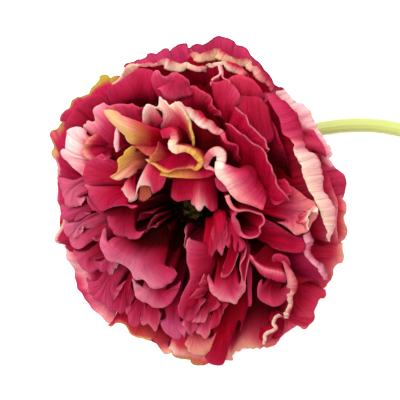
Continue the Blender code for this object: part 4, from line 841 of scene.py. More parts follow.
# Heart petals, narrow and upright round the capsule
HEART = [
    # the near petals of the far side, whose inner faces show under their pale tops
    petal("white_lens", claw=62, leave=52, arrive=66, calm=0.03,
          roll=(0.8, 2, 3.2, 4.2, 3.6, 2.8, 1.6, 0.6, 0.3, 0.2), band=4,
          pale=(0.9, 1, 1, 1, 1, 0.8, 0.45, 0.2, 0.1, 0),
          dark=[[0.7, 0.8, 0.9, 1], [0.3, 0.4, 0.5, 0.7, 0.8, 0.7], 0],
          rim=[(170, 105, 41), (178, 104, 41), (184, 108, 41), (190, 111, 41), (200, 112, 41),
               (207, 114, 41), (213, 119, 41), (219, 126, 41), (224, 133, 41), (229, 140, 41),
               (236, 150, 40), (240, 160, 38)],
          inner=[[(176, 134, 37), (188, 144, 37), (200, 152, 36.5), (212, 158, 36), (224, 164, 35.5),
                  (234, 174, 35)],
                 [(173, 114, 40), (184, 118, 40), (196, 122, 40), (206, 126, 40), (214, 133, 39.5),
                  (222, 143, 39), (230, 154, 38.5), (237, 165, 37)]]),
    petal("teeth_left", claw=112, leave=60, arrive=30, ruffle=0.2, crumple=0.3,
          pale=[[0.2, 0.2, 0.1, 0.1], [0.6, 1, 1, 0.8, 0.5, 0.3]],
          rim=[(144, 124, 41), (143, 119, 41), (142.5, 112, 41.5), (145, 106, 42), (147, 104, 42),
               (151, 104.5, 42), (155, 108, 41.5), (159, 114, 41), (162, 122, 40)],
          inner=[[(150, 132, 35), (153, 129, 35), (156, 127, 35), (160, 128, 35)]]),
    petal("teeth", claw=96, leave=58, ruffle=0.2, crumple=0.4, calm=0.01,
          roll=(0, 0, 0, 0, 0, 0.4, 1, 1, 0.9, 0.6),
          pale=[0, [0.6, 0.25, 0.05, 0, 0], [1, 0.65, 0.3, 0.05, 0, 0], [1, 1, 1, 0.8, 0.4]],
          gold=[0, 0, [0, 0, 0, 0, 0.1, 0.2], [0, 0.1, 0.2, 0.3, 0.6, 0.9, 0.8]],
          rim=[(152, 105, 42), (154, 107, 42), (158, 106, 42), (159.5, 96, 42.5), (162, 99, 42),
               (166, 101, 42), (169, 105, 42), (173, 104, 42), (175, 101.5, 42), (181, 106, 42),
               (187, 114, 42), (190, 119, 42), (191.5, 128, 42), (193, 137, 42), (195, 147, 41)],
          inner=[[(160, 138, 33), (166, 143, 31), (176, 148, 29), (186, 151, 29), (194, 152, 32)],
                 [(161, 124, 39.5), (165, 126, 38.5), (172, 130, 36), (180, 134, 35), (191, 140, 38)],
                 [(162, 111, 41.5), (168, 113, 41), (175, 114, 40.5), (182, 120, 40.5), (187, 128, 41),
                  (192, 140, 41)]]),
    # a leaf-like tip folded along a yellow ridge
    petal("yellow_tip", claw=98, leave=58, ruffle=0.1, fold=0.2, crumple=0.15, calm=0.01, tuck=1,
          pale=[0, [0, 0, 0.15], [0, 0.2, 0.35], [0.2, 0.75, 0.8, 0.6], [0.9, 1, 1, 0.9, 0.5]],
          gold=[0, 0, [0.1, 0.4, 0.1], [0.6, 0.95, 0.5, 0.1], [0.6, 0.7, 0.7, 0.6, 0.7, 0.2]],
          rim=[(130, 143, 41), (127, 140.5, 41.5), (125, 135, 42), (119, 130, 42.5), (113, 124, 42.5),
               (108, 118, 42), (104, 111, 42), (109, 109.5, 42.5), (116, 111, 43.5), (121, 114, 44.5)],
          inner=[[(163, 152, 33), (163, 142, 36), (162, 130, 40)],
                 [(150, 147, 38), (150, 136, 41), (150, 126, 42.5)],
                 [(140, 144.5, 41), (140, 133, 43), (138, 121.5, 44)],
                 [(133, 144, 42.5), (130, 134, 45), (126, 123, 46), (123, 116, 45.5)]]),
    petal("olive_gold", claw=128, leave=62, ruffle=0.2, fold=0.4, crumple=0.3, calm=0.01, tuck=2,
          pale=[0, [0.3, 0.4, 0.1], [0.6, 0.8, 0.9, 0.7, 0.3, 0.1, 0.1, 0.1]],
          gold=[0, [0.2, 0.3, 0.4], [0.2, 0.3, 0.4, 0.7, 0.9, 1, 1, 0.8]],
          rim=[(137, 172, 35), (130, 177, 36.5), (124, 178, 37), (119, 180, 37.5), (110, 177, 38),
               (115, 175, 38.5), (118, 170, 39), (118, 164, 39.5), (117, 160, 40), (120, 157, 40),
               (123, 156, 40), (125, 151, 40), (128, 149, 40), (133, 146, 39.5), (138, 145, 39)],
          inner=[[(148, 168, 29), (148, 158, 30), (147, 149, 32)],
                 [(137, 169, 35), (134, 161, 36.5), (135, 151, 37.5)]]),
    petal("gold_fold", claw=104, leave=62, ruffle=0.1, crumple=0.2, pale=[0, [0.25, 0.3, 0.3]],
          gold=[0, [0.2, 0.2, 0.1]],
          rim=[(132, 146, 40), (137, 148, 40.3), (141, 151, 40.3), (145, 154, 40), (150, 156, 40),
               (154, 155, 39)],
          inner=[[(144, 140, 37), (152, 141, 37), (160, 146, 36)]]),
    # the boat: a hollow with gold along both of its edges
    petal("boat_wing", claw=106, leave=62, ruffle=0.1, crumple=0.2, tuck=1, pale=[0, [0.4, 0.2, 0]],
          gold=[0, [0.5, 0.3, 0]],
          rim=[(150, 164, 40.5), (150, 157, 41), (153.5, 153, 41.5), (156.5, 149, 42), (158.5, 141, 42.5)],
          inner=[[(166, 160, 35), (166, 154, 36), (165, 147, 38)]]),
    petal("boat", claw=92, leave=60, ruffle=0.1, crumple=0.3, tuck=1, band=1.7,
          pale=(0.8, 0.6, 0.4, 0.2, 0.1, 0.1, 0.3, 0.3), gold=(0.5, 0.9, 1, 0.7, 0.2, 0.2, 0.7, 0.9),
          rim=[(145, 159.5, 40), (149, 163, 40), (154, 165, 40), (159, 169, 40), (164, 171.5, 40),
               (169, 172, 40), (174, 169.5, 40), (180, 169, 40), (186, 169, 40), (191, 168.5, 40.5),
               (195, 170.5, 41), (200, 167, 41.5)],
          inner=[[(156, 146, 36), (165, 148, 34), (176, 150, 33), (188, 151, 33), (198, 156, 35)],
                 [(152, 158, 38), (160, 162, 36.5), (170, 163, 36), (182, 163, 36), (192, 162, 37.5),
                  (199, 161, 39.5)]]),
    petal("boat_ribbon", claw=84, leave=60, arrive=84, ruffle=0.05, fold=0.2, crumple=0.1, calm=0.01,
          tuck=0, columns=72, roll=(2.6, 3.4, 3.2, 2.2, 2.6, 3, 1.6, 1.4, 1.9, 1.5, 1.6, 1.2), band=6,
          pale=(0.1, 0.2, 0.3, 0.6, 1, 0.9, 0.6, 0.3, 0.3, 0.3, 0.3),
          gold=(0, 0, 0, 0.1, 0.3, 0.6, 0.8, 0.9, 0.9, 0.9, 0.8),
          rim=[(160, 131, 43.5), (165, 129, 44), (171, 128, 44.5), (174.5, 130, 45), (176.5, 135, 45),
               (177, 140, 45), (175.5, 145, 45), (180, 146, 45), (187, 148, 45), (191, 150, 45),
               (195, 152, 45), (199, 155, 44.5), (202, 159, 44), (203, 162.5, 44), (201, 167, 43.5),
               (197, 170.5, 43)]),
    petal("gold_strip", claw=82, leave=62, ruffle=0.15, crumple=0.3, tuck=1,
          pale=[0, [0.3, 0.35, 0.2, 0.05, 0]], gold=[[0.4, 0.2, 0, 0], [0.8, 0.8, 0.4, 0, 0]],
          rim=[(160, 175.5, 38.4), (167, 177, 38.5), (174, 177.5, 38.5), (184, 178, 38.5),
               (196, 178.5, 38.5), (208, 177, 38.5), (217, 172, 38.5)],
          inner=[[(163, 169, 36), (176, 166, 36), (192, 165, 36), (208, 164, 36)]]),
    # petals that lean in over the eye
    petal("tube", claw=112, leave=66, ruffle=0.1, fold=0.3, crumple=0.2, calm=0.01, tuck=0,
          pale=[[0.6, 0.5, 0.1, 0.2], [0.9, 0.9, 0.3, 0.2, 0.3], [1, 1, 0.9, 0.7, 0.3, 0.3, 0.5]],
          rim=[(135, 199, 35.5), (136, 195, 35.8), (137.5, 190, 36.5), (140, 186.5, 37), (145, 185, 37.5),
               (150, 186, 37.3), (151.5, 190, 36.5), (153, 194, 36), (158, 191, 36), (163, 186, 36),
               (165.5, 178, 36.5)],
          inner=[[(144, 169, 36), (150, 164, 37), (158, 168, 36.5), (163, 172, 36)],
                 [(138.5, 181, 37), (144, 176, 38.6), (150, 175, 39), (157, 178, 38), (165, 175, 37)]]),
    petal("tube_inside", claw=118, leave=66, ruffle=0.1, crumple=0.2, pale=0.3, gold=0.25, dark=0.15,
          rim=[(138, 199, 33), (143, 201, 33), (148, 199, 33), (152, 195, 33)],
          inner=[[(140, 187, 33), (146, 186, 33), (151, 187, 33)]]),
    petal("small_tip", claw=140, leave=62, ruffle=0.1, crumple=0.2, calm=0.01, tuck=1,
          pale=[[0.1, 0], [0.6, 0.7, 0.2, 0.1], [1, 1, 1, 0.9, 0.5]],
          rim=[(119, 193.5, 33.5), (121, 196, 33.5), (124, 195.5, 34), (126, 198, 34), (128, 201, 34),
               (131, 202, 34), (136, 199.5, 34), (138, 194, 34)],
          inner=[[(127, 180, 33), (130, 178, 33), (135, 179, 33)],
                 [(121, 188, 34.5), (126, 184, 35.5), (131, 184, 35.8), (136, 188, 35)]]),
    petal("lobe", claw=66, leave=70, ruffle=0.1, fold=0.3, crumple=0.3, calm=0.01,
          pale=[0, [0.1, 0, 0, 0.4, 0, 0], [0.4, 0.2, 0.2, 0.4, 0.9, 0.9, 0.3, 0.4]],
          dark=[[0.4, 0.4, 0.4, 0.6], [0.3, 0.35, 0.2, 0.1, 0.35, 0.6], [0, 0, 0, 0, 0, 0, 0.1, 0.2]],
          rim=[(171, 197, 33.5), (175, 200.5, 33.5), (179, 201.5, 33.5), (184, 200.5, 33.5),
               (189, 199.5, 33.5), (192.5, 199, 34), (192, 204, 34), (195, 205, 34), (197, 209, 34),
               (199.5, 211, 34), (202, 209, 34), (204.5, 205, 34), (208, 208, 33.5), (212, 211, 33.5),
               (217.5, 208.5, 33.5)],
          inner=[[(174, 176, 35), (184, 175, 35.5), (196, 175, 35.5), (208, 174, 35.5), (218, 176, 35.5)],
                 [(172, 187, 35), (182, 188, 35.5), (192, 188, 35.5), (200, 189, 36.5), (208, 190, 35),
                  (218, 192, 34)]]),
    petal("under_curl", claw=42, leave=60, ruffle=0.1, crumple=0.2, pale=[0.1, 0.35], mauve=0.3,
          rim=[(215, 178, 37), (216, 184, 37), (219, 189, 37), (223, 191.5, 37), (228, 190.5, 37),
               (232, 187, 37)],
          inner=[[(219, 172, 37.5), (225, 176, 38.5), (232, 182, 38.5)]]),
    petal("curl_loop", claw=50, leave=56, arrive=80, ruffle=0.05, fold=0.2, crumple=0.1, calm=0.01, tuck=0,
          columns=64, roll=(0.6, 1.2, 2, 2.5, 2.6, 2.8, 3, 3.2, 3.2, 3, 2.6), band=6,
          pale=(0.6, 0.7, 0.6, 0.5, 0.5, 0.7, 0.9, 1, 1, 1, 1),
          rim=[(216, 172, 41), (210, 169.8, 41), (205.5, 168.8, 41.5), (203.5, 164.5, 42),
               (204.5, 158, 42.5), (208, 152.3, 43), (214, 148.2, 43.5), (220, 148.6, 43.5),
               (224.6, 153, 43.5), (225.3, 160, 43), (223.5, 167, 42.5), (223, 172, 42)]),
    petal("curl_lip", claw=44, leave=54, ruffle=0.2, fold=0.3, crumple=0.6, calm=0.01, tuck=0,
          roll=(3, 2.6, 2.2, 2, 1.9, 1.8, 1.6, 1.4, 1),
          pale=[0.1, [0.35, 0.2, 0.15, 0.1, 0.15], [1, 0.9, 0.75, 0.55, 0.4]], mauve=[0.2, 0.5, 0],
          rim=[(223.5, 163, 42.8), (222.5, 171, 42.5), (226, 177, 42), (231, 183, 41.5), (234, 190, 41),
               (240, 196.5, 40.5), (248, 199.5, 40), (256, 203, 39), (264, 206.5, 38)],
          inner=[[(227, 166, 37), (235, 169, 37), (246, 170, 37), (254, 175, 37), (261, 186, 36.5),
                  (266, 198, 36)],
                 [(225, 165, 41.8), (231, 168, 42), (240, 172, 41.8), (249, 179, 41.3), (256, 188, 40.2),
                  (265, 202, 38)]]),
    petal("funnel_back", claw=8, leave=56, arrive=62, ruffle=0.05, fold=0.2, crumple=0.2, calm=0.01, tuck=0,
          roll=(1.6, 1.4, 0.8, 0.3, 0.3, 0.4, 0.5, 0.5, 0.4), band=2.4,
          pale=(0.7, 0.6, 0.5, 0.45, 0.45, 0.45, 0.4),
          rim=[(229, 195, 37), (231, 201, 37), (234, 206, 37), (239, 209.3, 37), (245, 209.3, 37),
               (251, 210, 37), (257, 213, 37), (262, 215, 37), (264.5, 219, 37), (264, 224, 36.5),
               (260.5, 228, 36), (260.5, 233, 35.5)]),
    petal("funnel_front", claw=350, leave=66, arrive=74, ruffle=0.05, fold=0.2, crumple=0.2, calm=0.01,
          tuck=0, roll=(-0.6, -1.2, -2.4, -2.4, -1.8, -0.8, -0.4, -0.3, -0.3), band=(3, 3, 2.4, 1.6),
          pale=(0.3, 0.45, 0.5, 0.5, 0.45, 0.45, 0.4), mauve=0.25,
          rim=[(237, 211, 36), (233, 214.5, 36), (231.5, 221, 36), (233, 225.5, 36), (235, 229.5, 35.5),
               (238, 233.7, 35.2), (243, 236.7, 35), (248, 238, 35), (253, 238, 35), (258, 236.3, 35),
               (261.5, 232, 35.5)]),
    # narrow tongues below the funnel
    petal("ray_left", claw=306, leave=60, waves=4, crumple=0.6,
          pale=[0, [0.05, 0.15, 0.1], [0.2, 0.3, 0.4, 0.15]],
          rim=[(196, 262, 26), (200, 268, 26), (204, 269, 26), (208, 263, 26.5), (213, 255, 28),
               (217, 248, 29.5), (222, 240, 31), (228, 228, 33)],
          inner=[[(206, 232, 27), (213, 224, 30), (224, 214, 33)],
                 [(203, 248, 27), (212, 240, 30), (225, 222, 34)]]),
    petal("strip_back", claw=334, leave=58, crumple=0.4, columns=32, pale=[0.1, 0.3], mauve=0.2,
          rim=[(222, 238, 31.5), (226, 246, 31), (232, 251, 31), (240, 251, 31), (247, 246, 32)],
          inner=[[(222, 226, 32), (230, 231, 32), (242, 238, 32)]]),
    petal("tongue_a", claw=318, leave=58, ruffle=0.2, crumple=0.2, calm=0.01, columns=32,
          pale=[0.1, [0.4, 0.35, 0.5, 0.4, 0.3]], mauve=0.35,
          rim=[(211, 232, 30.5), (214, 243, 30), (218, 251, 29.5), (221.6, 256, 29.5), (224, 249, 30),
               (226, 241, 31), (229, 232, 32)],
          inner=[[(214, 222, 31), (220, 222, 32), (228, 224, 33)]]),
    petal("tongue_b", claw=328, leave=58, ruffle=0.2, crumple=0.2, calm=0.01, columns=32, band=1.4,
          pale=0.5, dark=[0.5, 0.1],
          rim=[(230, 246, 31), (227, 258, 30), (223.5, 267, 29.5), (221, 277, 29), (226, 277, 29),
               (232, 271, 29.5), (236.5, 260, 30.5), (240, 248, 31.5)],
          inner=[[(231, 238, 31), (235, 238, 31.5), (240, 240, 32)]]),
    petal("tongue_c", claw=324, leave=46, ruffle=0.2, crumple=0.2, calm=0.01, columns=32, band=1.3,
          pale=0.5, mauve=0.2,
          rim=[(246, 245, 31.5), (245, 257, 31), (240, 266, 30.5), (241, 275, 30), (244.5, 285, 29),
               (246, 276, 29.5), (248, 266, 30), (250, 252, 30.5)],
          inner=[[(243, 239, 26), (245.5, 240, 26), (248, 242, 26)]]),
    # small shadowed petals round the eye
    petal("eye_left", claw=186, leave=60, arrive=56, crumple=0.3, tuck=0, band=1.2, pale=0.25, mauve=0.3,
          dark=[0.95, [0.75, 0.8], [0.5, 0.45]],
          rim=[(152, 197, 30), (143, 201, 29), (136, 204, 28), (133, 210, 27), (132, 216, 26.5),
               (134, 221, 26.5), (138, 220, 26.5), (141, 214, 27.5), (146, 212, 28.5), (152, 212, 29.5)]),
    petal("eye_left_low", claw=196, leave=58, arrive=52, crumple=0.2, tuck=0, band=1.5, pale=0.4, mauve=0.3,
          dark=[0.95, 0.6, 0.35],
          rim=[(155, 215, 27), (151, 222, 26), (146, 229, 25), (142, 235, 24.5), (147, 232, 24.5),
               (152, 228, 25), (157, 223, 26)]),
    petal("eye_low_left", claw=214, leave=54, arrive=56, crumple=0.2, band=1.5, pale=0.2, dark=[1, 0.75],
          rim=[(155, 224, 23), (158, 230, 22.5), (163, 235, 22), (166, 238, 22), (168.5, 233, 22),
               (169, 225, 22.5)]),
    petal("eye_low", claw=262, leave=48, arrive=56, calm=0.12, band=1.5, dark=0.92,
          rim=[(172, 232, 20), (170, 246, 18), (177, 254, 18), (184, 248, 19), (187, 234, 20)]),
    petal("eye_right", claw=290, leave=58, arrive=50, crumple=0.8, band=4, pale=0.55, mauve=0.6,
          dark=[0.6, 0.2, 0.1],
          rim=[(184, 232, 24), (186, 238, 24), (187, 248, 23), (192, 258, 22), (199, 262, 22),
               (206, 256, 22.5), (208.5, 246, 23.5), (209, 233, 25)]),
]

# A petal's patterns are laid out in spans of this length across it, and in its own length along it
PATTERN_SPAN = 40.0
PETAL_APART = 7.31          # spans from one petal's pattern to the next, so that no two are alike

# The real size of each pattern, but for the veins: real ones lie about 0.4 mm apart, which is one picture
# point, so they are drawn as coarse as they need to show
VEIN_STEP = 1.18
FINE_VEIN_STEP = 0.77
CREASE_STEP = 3.6
BLOTCH = 8.0
RIM_WANDER = 4.4            # from one bay of a rim colour's inner edge to the next
CAPSULE_FLECK = 2.38
CREASE_RELIEF = 2.7
VEIN_RELIEF = 0.4
LIGHT_DEPTH = 1.5           # that light passes into a petal

# A petal's colours from its rim inward, at shares of a span: clear at the rim, dark wine red deep down;
# the darkening is partly the petal's own colour and partly painted shade of the hollows deep in the bloom
CRIMSON = ((0, "#C02048"), (0.1, "#B80E36"), (0.3, "#B40628"), (0.55, "#9C0216"), (0.95, "#620108"))
DUSTY_ROSE = ((0, "#BE3E68"), (0.15, "#AE2652"), (0.35, "#9C1040"), (0.65, "#7E0622"), (1, "#54020E"))
# The colour of a rim, from hardly paler than its petal to the palest; where pale lies on a lit face it is
# painted light
WARM_RIM = ((0, "#C42446"), (0.35, "#D2425E"), (0.65, "#E48084"), (1, "#FBD0C2"))
COOL_RIM = ((0, "#B4264E"), (0.35, "#C84A74"), (0.65, "#DE7C98"), (1, "#F8C0CC"))
GOLD_RIM = "#D2A446"
OLIVE_RIM = "#A8A030"
DARK_RIM = "#4A0A20"
# Painted shade that the dark tint blends towards, darker where the tint is stronger
SHADED_CLAW = ((0, "#70010A"), (0.5, "#580208"), (0.8, "#3C0306"), (1, "#200304"))
VEINS = ((0.32, "#BCBCBC"), (0.66, "#FFFFFF"))
FINE_VEINS = ((0.34, "#B8808C"), (0.5, "#FFFFFF"))
BLOTCHES = ((0.35, "#C8A8B0"), (0.62, "#FFFFFF"))
# The capsule's near black is partly painted shade of the deep eye
CAPSULE_COLOURS = ((0.45, "#0C0604"), (0.58, "#3A2C08"), (0.72, "#7A6414"))
STAMEN_BLACK = "#140A06"
STEM_GREEN = "#BCC66E"
TABLE_WHITE = "#F4F4F4"

# Sockets of a colour mix: its share, the colour below, the colour above and what comes out
MIX_SHARE, MIX_BELOW, MIX_ABOVE, MIX_RESULT = 0, 6, 7, 2


def colour(text):
    """A #RRGGBB colour as linear RGBA."""
    parts = [int(text[start:start + 2], 16) / 255 for start in (1, 3, 5)]
    return [part / 12.92 if part <= 0.04045 else ((part + 0.055) / 1.055) ** 2.4 for part in parts] + [1.0]


def repeats(size):
    """How often a pattern of this size comes in a span."""
    return round(PATTERN_SPAN / size)


def node(tree, kind, inputs=None, stops=(), **settings):
    """Adds a node with its settings, its colour stops and its values and links, and gives its outputs."""
    made = tree.nodes.new(kind)
    for key, value in settings.items():
        setattr(made, key, value)
    for key, value in (inputs or {}).items():
        if isinstance(value, bpy.types.NodeSocket):
            tree.links.new(value, made.inputs[key])
        else:
            made.inputs[key].default_value = value
    if stops:
        elements = made.color_ramp.elements
        while len(elements) < len(stops):
            elements.new(0.5)
        for element, (position, text) in zip(elements, stops):
            element.position = position
            element.color = colour(text)
    return made.outputs


def new_material(name, roughness, specular):
    made = bpy.data.materials.new(name)
    made.use_nodes = True
    shader = made.node_tree.nodes["Principled BSDF"]
    shader.inputs["Roughness"].default_value = roughness
    shader.inputs["Specular IOR Level"].default_value = specular
    return made, made.node_tree, shader


def petal_material():
    """Fresh poppy petal: thin tissue that was packed crumpled in its bud and then opened.

    It is matt, and a little light passes into it. It keeps its creases, and it has fine veins that fan
    out from the claw and a paler, golden or dark rim. Its colour darkens deep below the rims, partly its
    own and partly painted shade; its dark tint is painted shade, and its pale tint is partly painted
    light on lit faces.
    """
    made, tree, shader = new_material("poppy_petal", roughness=0.8, specular=0.015)
    place = node(tree, "ShaderNodeAttribute", attribute_name="place")["Vector"]
    # depth below the rim, by which the colour darkens, partly as painted shade
    deep = node(tree, "ShaderNodeSeparateXYZ", {0: place})["Z"]
    rim = node(tree, "ShaderNodeAttribute", attribute_name="rim")["Fac"]
    tint = node(tree, "ShaderNodeAttribute", attribute_name="tint")
    pale, gold, mauve = node(tree, "ShaderNodeSeparateColor", {0: tint["Color"]})
    # the dark tint, in the alpha, is painted shade
    dark = tint["Alpha"]

    # veins run from claw to rim, so their pattern is stretched along the petal
    along_veins = node(tree, "ShaderNodeMapping", {0: place, "Scale": (1, 0.06, 0)})[0]
    vein_inputs = {"Vector": along_veins, "Scale": repeats(VEIN_STEP), "Detail": 4, "Roughness": 0.65}
    vein = node(tree, "ShaderNodeTexNoise", vein_inputs)[0]
    along_fine = node(tree, "ShaderNodeMapping", {0: place, "Scale": (1, 0.12, 0)})[0]
    fine_inputs = {"Vector": along_fine, "Scale": repeats(FINE_VEIN_STEP), "Detail": 3, "Roughness": 0.7}
    fine_vein = node(tree, "ShaderNodeTexNoise", fine_inputs)[0]
    blotch = node(tree, "ShaderNodeTexNoise", {"Vector": place, "Scale": repeats(BLOTCH), "Detail": 2})[0]

    # the rim's colour, partly its own and partly painted light, has an inner edge that wanders
    wander_inputs = {"Vector": along_veins, "Scale": repeats(RIM_WANDER), "Detail": 2}
    wander = node(tree, "ShaderNodeTexNoise", wander_inputs)[0]
    beyond = node(tree, "ShaderNodeMath", {0: rim, 1: 0.65}, operation="SUBTRACT")[0]
    near = node(tree, "ShaderNodeMath", {0: wander, 1: 1.3, 2: beyond}, operation="MULTIPLY_ADD")[0]
    edge_inputs = {"Value": near, "From Min": 1.15, "From Max": 0.1}
    edge = node(tree, "ShaderNodeMapRange", edge_inputs, interpolation_type="SMOOTHSTEP")[0]
    warm = node(tree, "ShaderNodeValToRGB", {0: pale}, WARM_RIM)[0]
    cool = node(tree, "ShaderNodeValToRGB", {0: pale}, COOL_RIM)[0]
    light_inputs = {MIX_SHARE: mauve, MIX_BELOW: warm, MIX_ABOVE: cool}
    light = node(tree, "ShaderNodeMix", light_inputs, data_type="RGBA")[MIX_RESULT]

    # what lies over the crimson, each as its share, its colour and the way of mixing
    layers = [
        (mauve, node(tree, "ShaderNodeValToRGB", {0: deep}, DUSTY_ROSE)[0], "MIX"),
        (0.34, node(tree, "ShaderNodeValToRGB", {0: vein}, VEINS)[0], "MULTIPLY"),
        (0.5, node(tree, "ShaderNodeValToRGB", {0: blotch}, BLOTCHES)[0], "MULTIPLY"),
    ]
    # what a rim is tinted with, each as its tint, the tint's value where it covers fully, and its colour;
    # pale is partly painted light
    rims = (
        (pale, 0.6, light),
        (gold, 1, colour(GOLD_RIM)),
        (gold, -1, colour(OLIVE_RIM)),
        (pale, -1, colour(DARK_RIM)),
    )
    for amount, full, paint in rims:
        share_inputs = {"Value": amount, "From Min": 0, "From Max": full}
        share = node(tree, "ShaderNodeMapRange", share_inputs)[0]
        share = node(tree, "ShaderNodeMath", {0: edge, 1: share}, operation="MULTIPLY")[0]
        layers.append((share, paint, "MIX"))
    # painted shade: the dark tint blends the colour towards the shaded claw colours
    shadow_inputs = {"Value": dark, "From Min": 0, "From Max": 0.7}
    shadow_share = node(tree, "ShaderNodeMapRange", shadow_inputs)[0]
    layers.append((shadow_share, node(tree, "ShaderNodeValToRGB", {0: dark}, SHADED_CLAW)[0], "MIX"))
    layers.append((0.35, node(tree, "ShaderNodeValToRGB", {0: fine_vein}, FINE_VEINS)[0], "MULTIPLY"))
    # the crimson darkens with depth below the rim, partly as painted shade
    body = node(tree, "ShaderNodeValToRGB", {0: deep}, CRIMSON)[0]
    for share, paint, way in layers:
        mix_inputs = {MIX_SHARE: share, MIX_BELOW: body, MIX_ABOVE: paint}
        body = node(tree, "ShaderNodeMix", mix_inputs, data_type="RGBA", blend_type=way)[MIX_RESULT]
    tree.links.new(body, shader.inputs["Base Color"])

    # creases run with the veins, and both stand up a little
    along_creases = node(tree, "ShaderNodeMapping", {0: place, "Scale": (1, 0.4, 0)})[0]
    crease_inputs = {"Vector": along_creases, "Scale": repeats(CREASE_STEP), "Detail": 5, "Roughness": 0.68}
    crease = node(tree, "ShaderNodeTexNoise", crease_inputs)[0]
    creased_inputs = {"Height": crease, "Strength": 0.85, "Distance": CREASE_RELIEF * MM}
    creased = node(tree, "ShaderNodeBump", creased_inputs)[0]
    veined_inputs = {"Height": vein, "Strength": 0.25, "Distance": VEIN_RELIEF * MM, "Normal": creased}
    veined = node(tree, "ShaderNodeBump", veined_inputs)[0]
    tree.links.new(veined, shader.inputs["Normal"])
    shader.inputs["Subsurface Weight"].default_value = 0.25
    shader.inputs["Subsurface Radius"].default_value = (1.0, 0.3, 0.25)
    shader.inputs["Subsurface Scale"].default_value = LIGHT_DEPTH * MM
    return made


def capsule_material():
    """Fresh seed capsule: a thick waxy skin with flecks of olive and only a faint gleam, near black partly as
    painted shade.
    """
    made, tree, shader = new_material("poppy_capsule", roughness=0.8, specular=0.1)
    where = node(tree, "ShaderNodeNewGeometry")["Position"]
    scale = round(1 / (CAPSULE_FLECK * MM))
    fleck = node(tree, "ShaderNodeTexNoise", {"Vector": where, "Scale": scale, "Detail": 2})[0]
    body = node(tree, "ShaderNodeValToRGB", {0: fleck}, CAPSULE_COLOURS)[0]
    tree.links.new(body, shader.inputs["Base Color"])
    return made


def plain_material(name, text, roughness, specular):
    made, _, shader = new_material(name, roughness, specular)
    shader.inputs["Base Color"].default_value = colour(text)
    return made


def stem_material():
    """Fresh green stem: smooth skin with a thin bloom of wax, so it has a soft gleam."""
    return plain_material("poppy_stem", STEM_GREEN, roughness=0.42, specular=0.4)


def stamen_material():
    """Stamens, dry and dusty with dark pollen, so they are matt."""
    return plain_material("poppy_stamen", STAMEN_BLACK, roughness=0.8, specular=0.1)


def closed_sheet(middle):
    """The points and quads of both faces and the edge of a sheet round its middle surface."""
    rows, columns = middle.shape[:2]
    off = normals(middle) * THICK / 2
    points = np.concatenate(((middle + off).reshape(-1, 3), (middle - off).reshape(-1, 3)))
    index = np.arange(rows * columns).reshape(rows, columns)
    under = rows * columns
    face = np.stack([index[:-1, :-1], index[:-1, 1:], index[1:, 1:], index[1:, :-1]], -1).reshape(-1, 4)
    edge = np.concatenate([index[0, :-1], index[:-1, -1], index[-1, :0:-1], index[:0:-1, 0]])
    after = np.roll(edge, -1)
    side = np.stack([edge, edge + under, after + under, after], -1)
    return points, np.concatenate([face[:, ::-1], face + under, side[:, ::-1]])


def placed(name, points, faces, values, material):
    """A piece in the scene from its points over the table, with the values that its material reads."""
    mesh = bpy.data.meshes.new(name)
    mesh.from_pydata((points * MM).tolist(), [], faces)
    kinds = (("FLOAT_VECTOR", "vector"), ("FLOAT", "value"), ("FLOAT_COLOR", "color"))
    for key, (kind, field), value in zip(("place", "rim", "tint"), kinds, values):
        data = mesh.attributes.new(key, kind, "POINT").data
        data.foreach_set(field, value.astype(np.float32).ravel())
    mesh.shade_smooth()
    mesh.materials.append(material)
    made = bpy.data.objects.new(name, mesh)
    made.location = -BOX_MIDDLE * MM
    bpy.context.scene.collection.objects.link(made)
    return made


def seed_of(name):
    """A seed that goes with a petal's name, so that its creases stay when others are added."""
    return sum(ord(letter) * 31 ** place for place, letter in enumerate(name)) % 100003


def petals_piece(name, petals, material):
    """One piece of many petals, each a closed sheet of its own."""
    all_points, all_quads, all_values = [], [], []
    first = 0
    for number, details in enumerate(petals):
        shape = {"seed": seed_of(details["name"]), **details["shape"]}
        middle, shares, marks = petal_sheet(details["lines"], **shape)
        middle = laid(middle, THICK)
        points, quads = closed_sheet(middle)
        all_points.append(points)
        all_quads.append(quads + first)
        first += len(points)
        columns = middle.shape[1]
        to_rim = np.concatenate([np.cumsum(gaps(middle)[::-1], axis=0)[::-1], np.zeros((1, columns))])
        rim_spans = gaps(middle[-1]).sum() / PATTERN_SPAN
        across = np.linspace(0, 1, columns)[None, :] * rim_spans + PETAL_APART * number
        place = np.stack(np.broadcast_arrays(across, shares[:, None], to_rim / PATTERN_SPAN), -1)
        near_rim = to_rim / spread_along(details["band"], columns)
        tint = np.stack([spread_over(value, marks, shares, columns) for value in details["tints"]], -1)
        # the same for both faces
        all_values += [(place.reshape(-1, 3), near_rim.ravel(), tint.reshape(-1, 4))] * 2
    values = [np.concatenate(part) for part in zip(*all_values)]
    return placed(name, np.concatenate(all_points), np.concatenate(all_quads).tolist(), values, material)


def receptacle_piece(material):
    """The receptacle, turned about the bloom's axis, painted as dark as the petals are at their claws, which
    is painted shade.
    """
    sides = 48
    # painted shade: the deepest place and a strong dark tint, as at the petals' claws
    deep_place = (0.2, 0, 1)
    far_from_rim = (9,)
    shaded_claw_tint = (0, 0, 0, 0.9)
    angles = np.arange(sides) * 2 * math.pi / sides
    rings = [facing(angles) * radius + UP * height for height, radius in RECEPTACLE_PROFILE]
    points = over_table(np.concatenate(rings))
    index = np.arange(len(points)).reshape(-1, sides)
    after = np.roll(index, -1, axis=1)
    quads = np.stack([index[:-1], after[:-1], after[1:], index[1:]], -1).reshape(-1, 4)
    faces = [*quads.tolist(), index[0][::-1].tolist(), index[-1].tolist()]
    values = [np.tile(value, (len(points), 1)) for value in (deep_place, far_from_rim, shaded_claw_tint)]
    return placed("receptacle", points, faces, values, material)


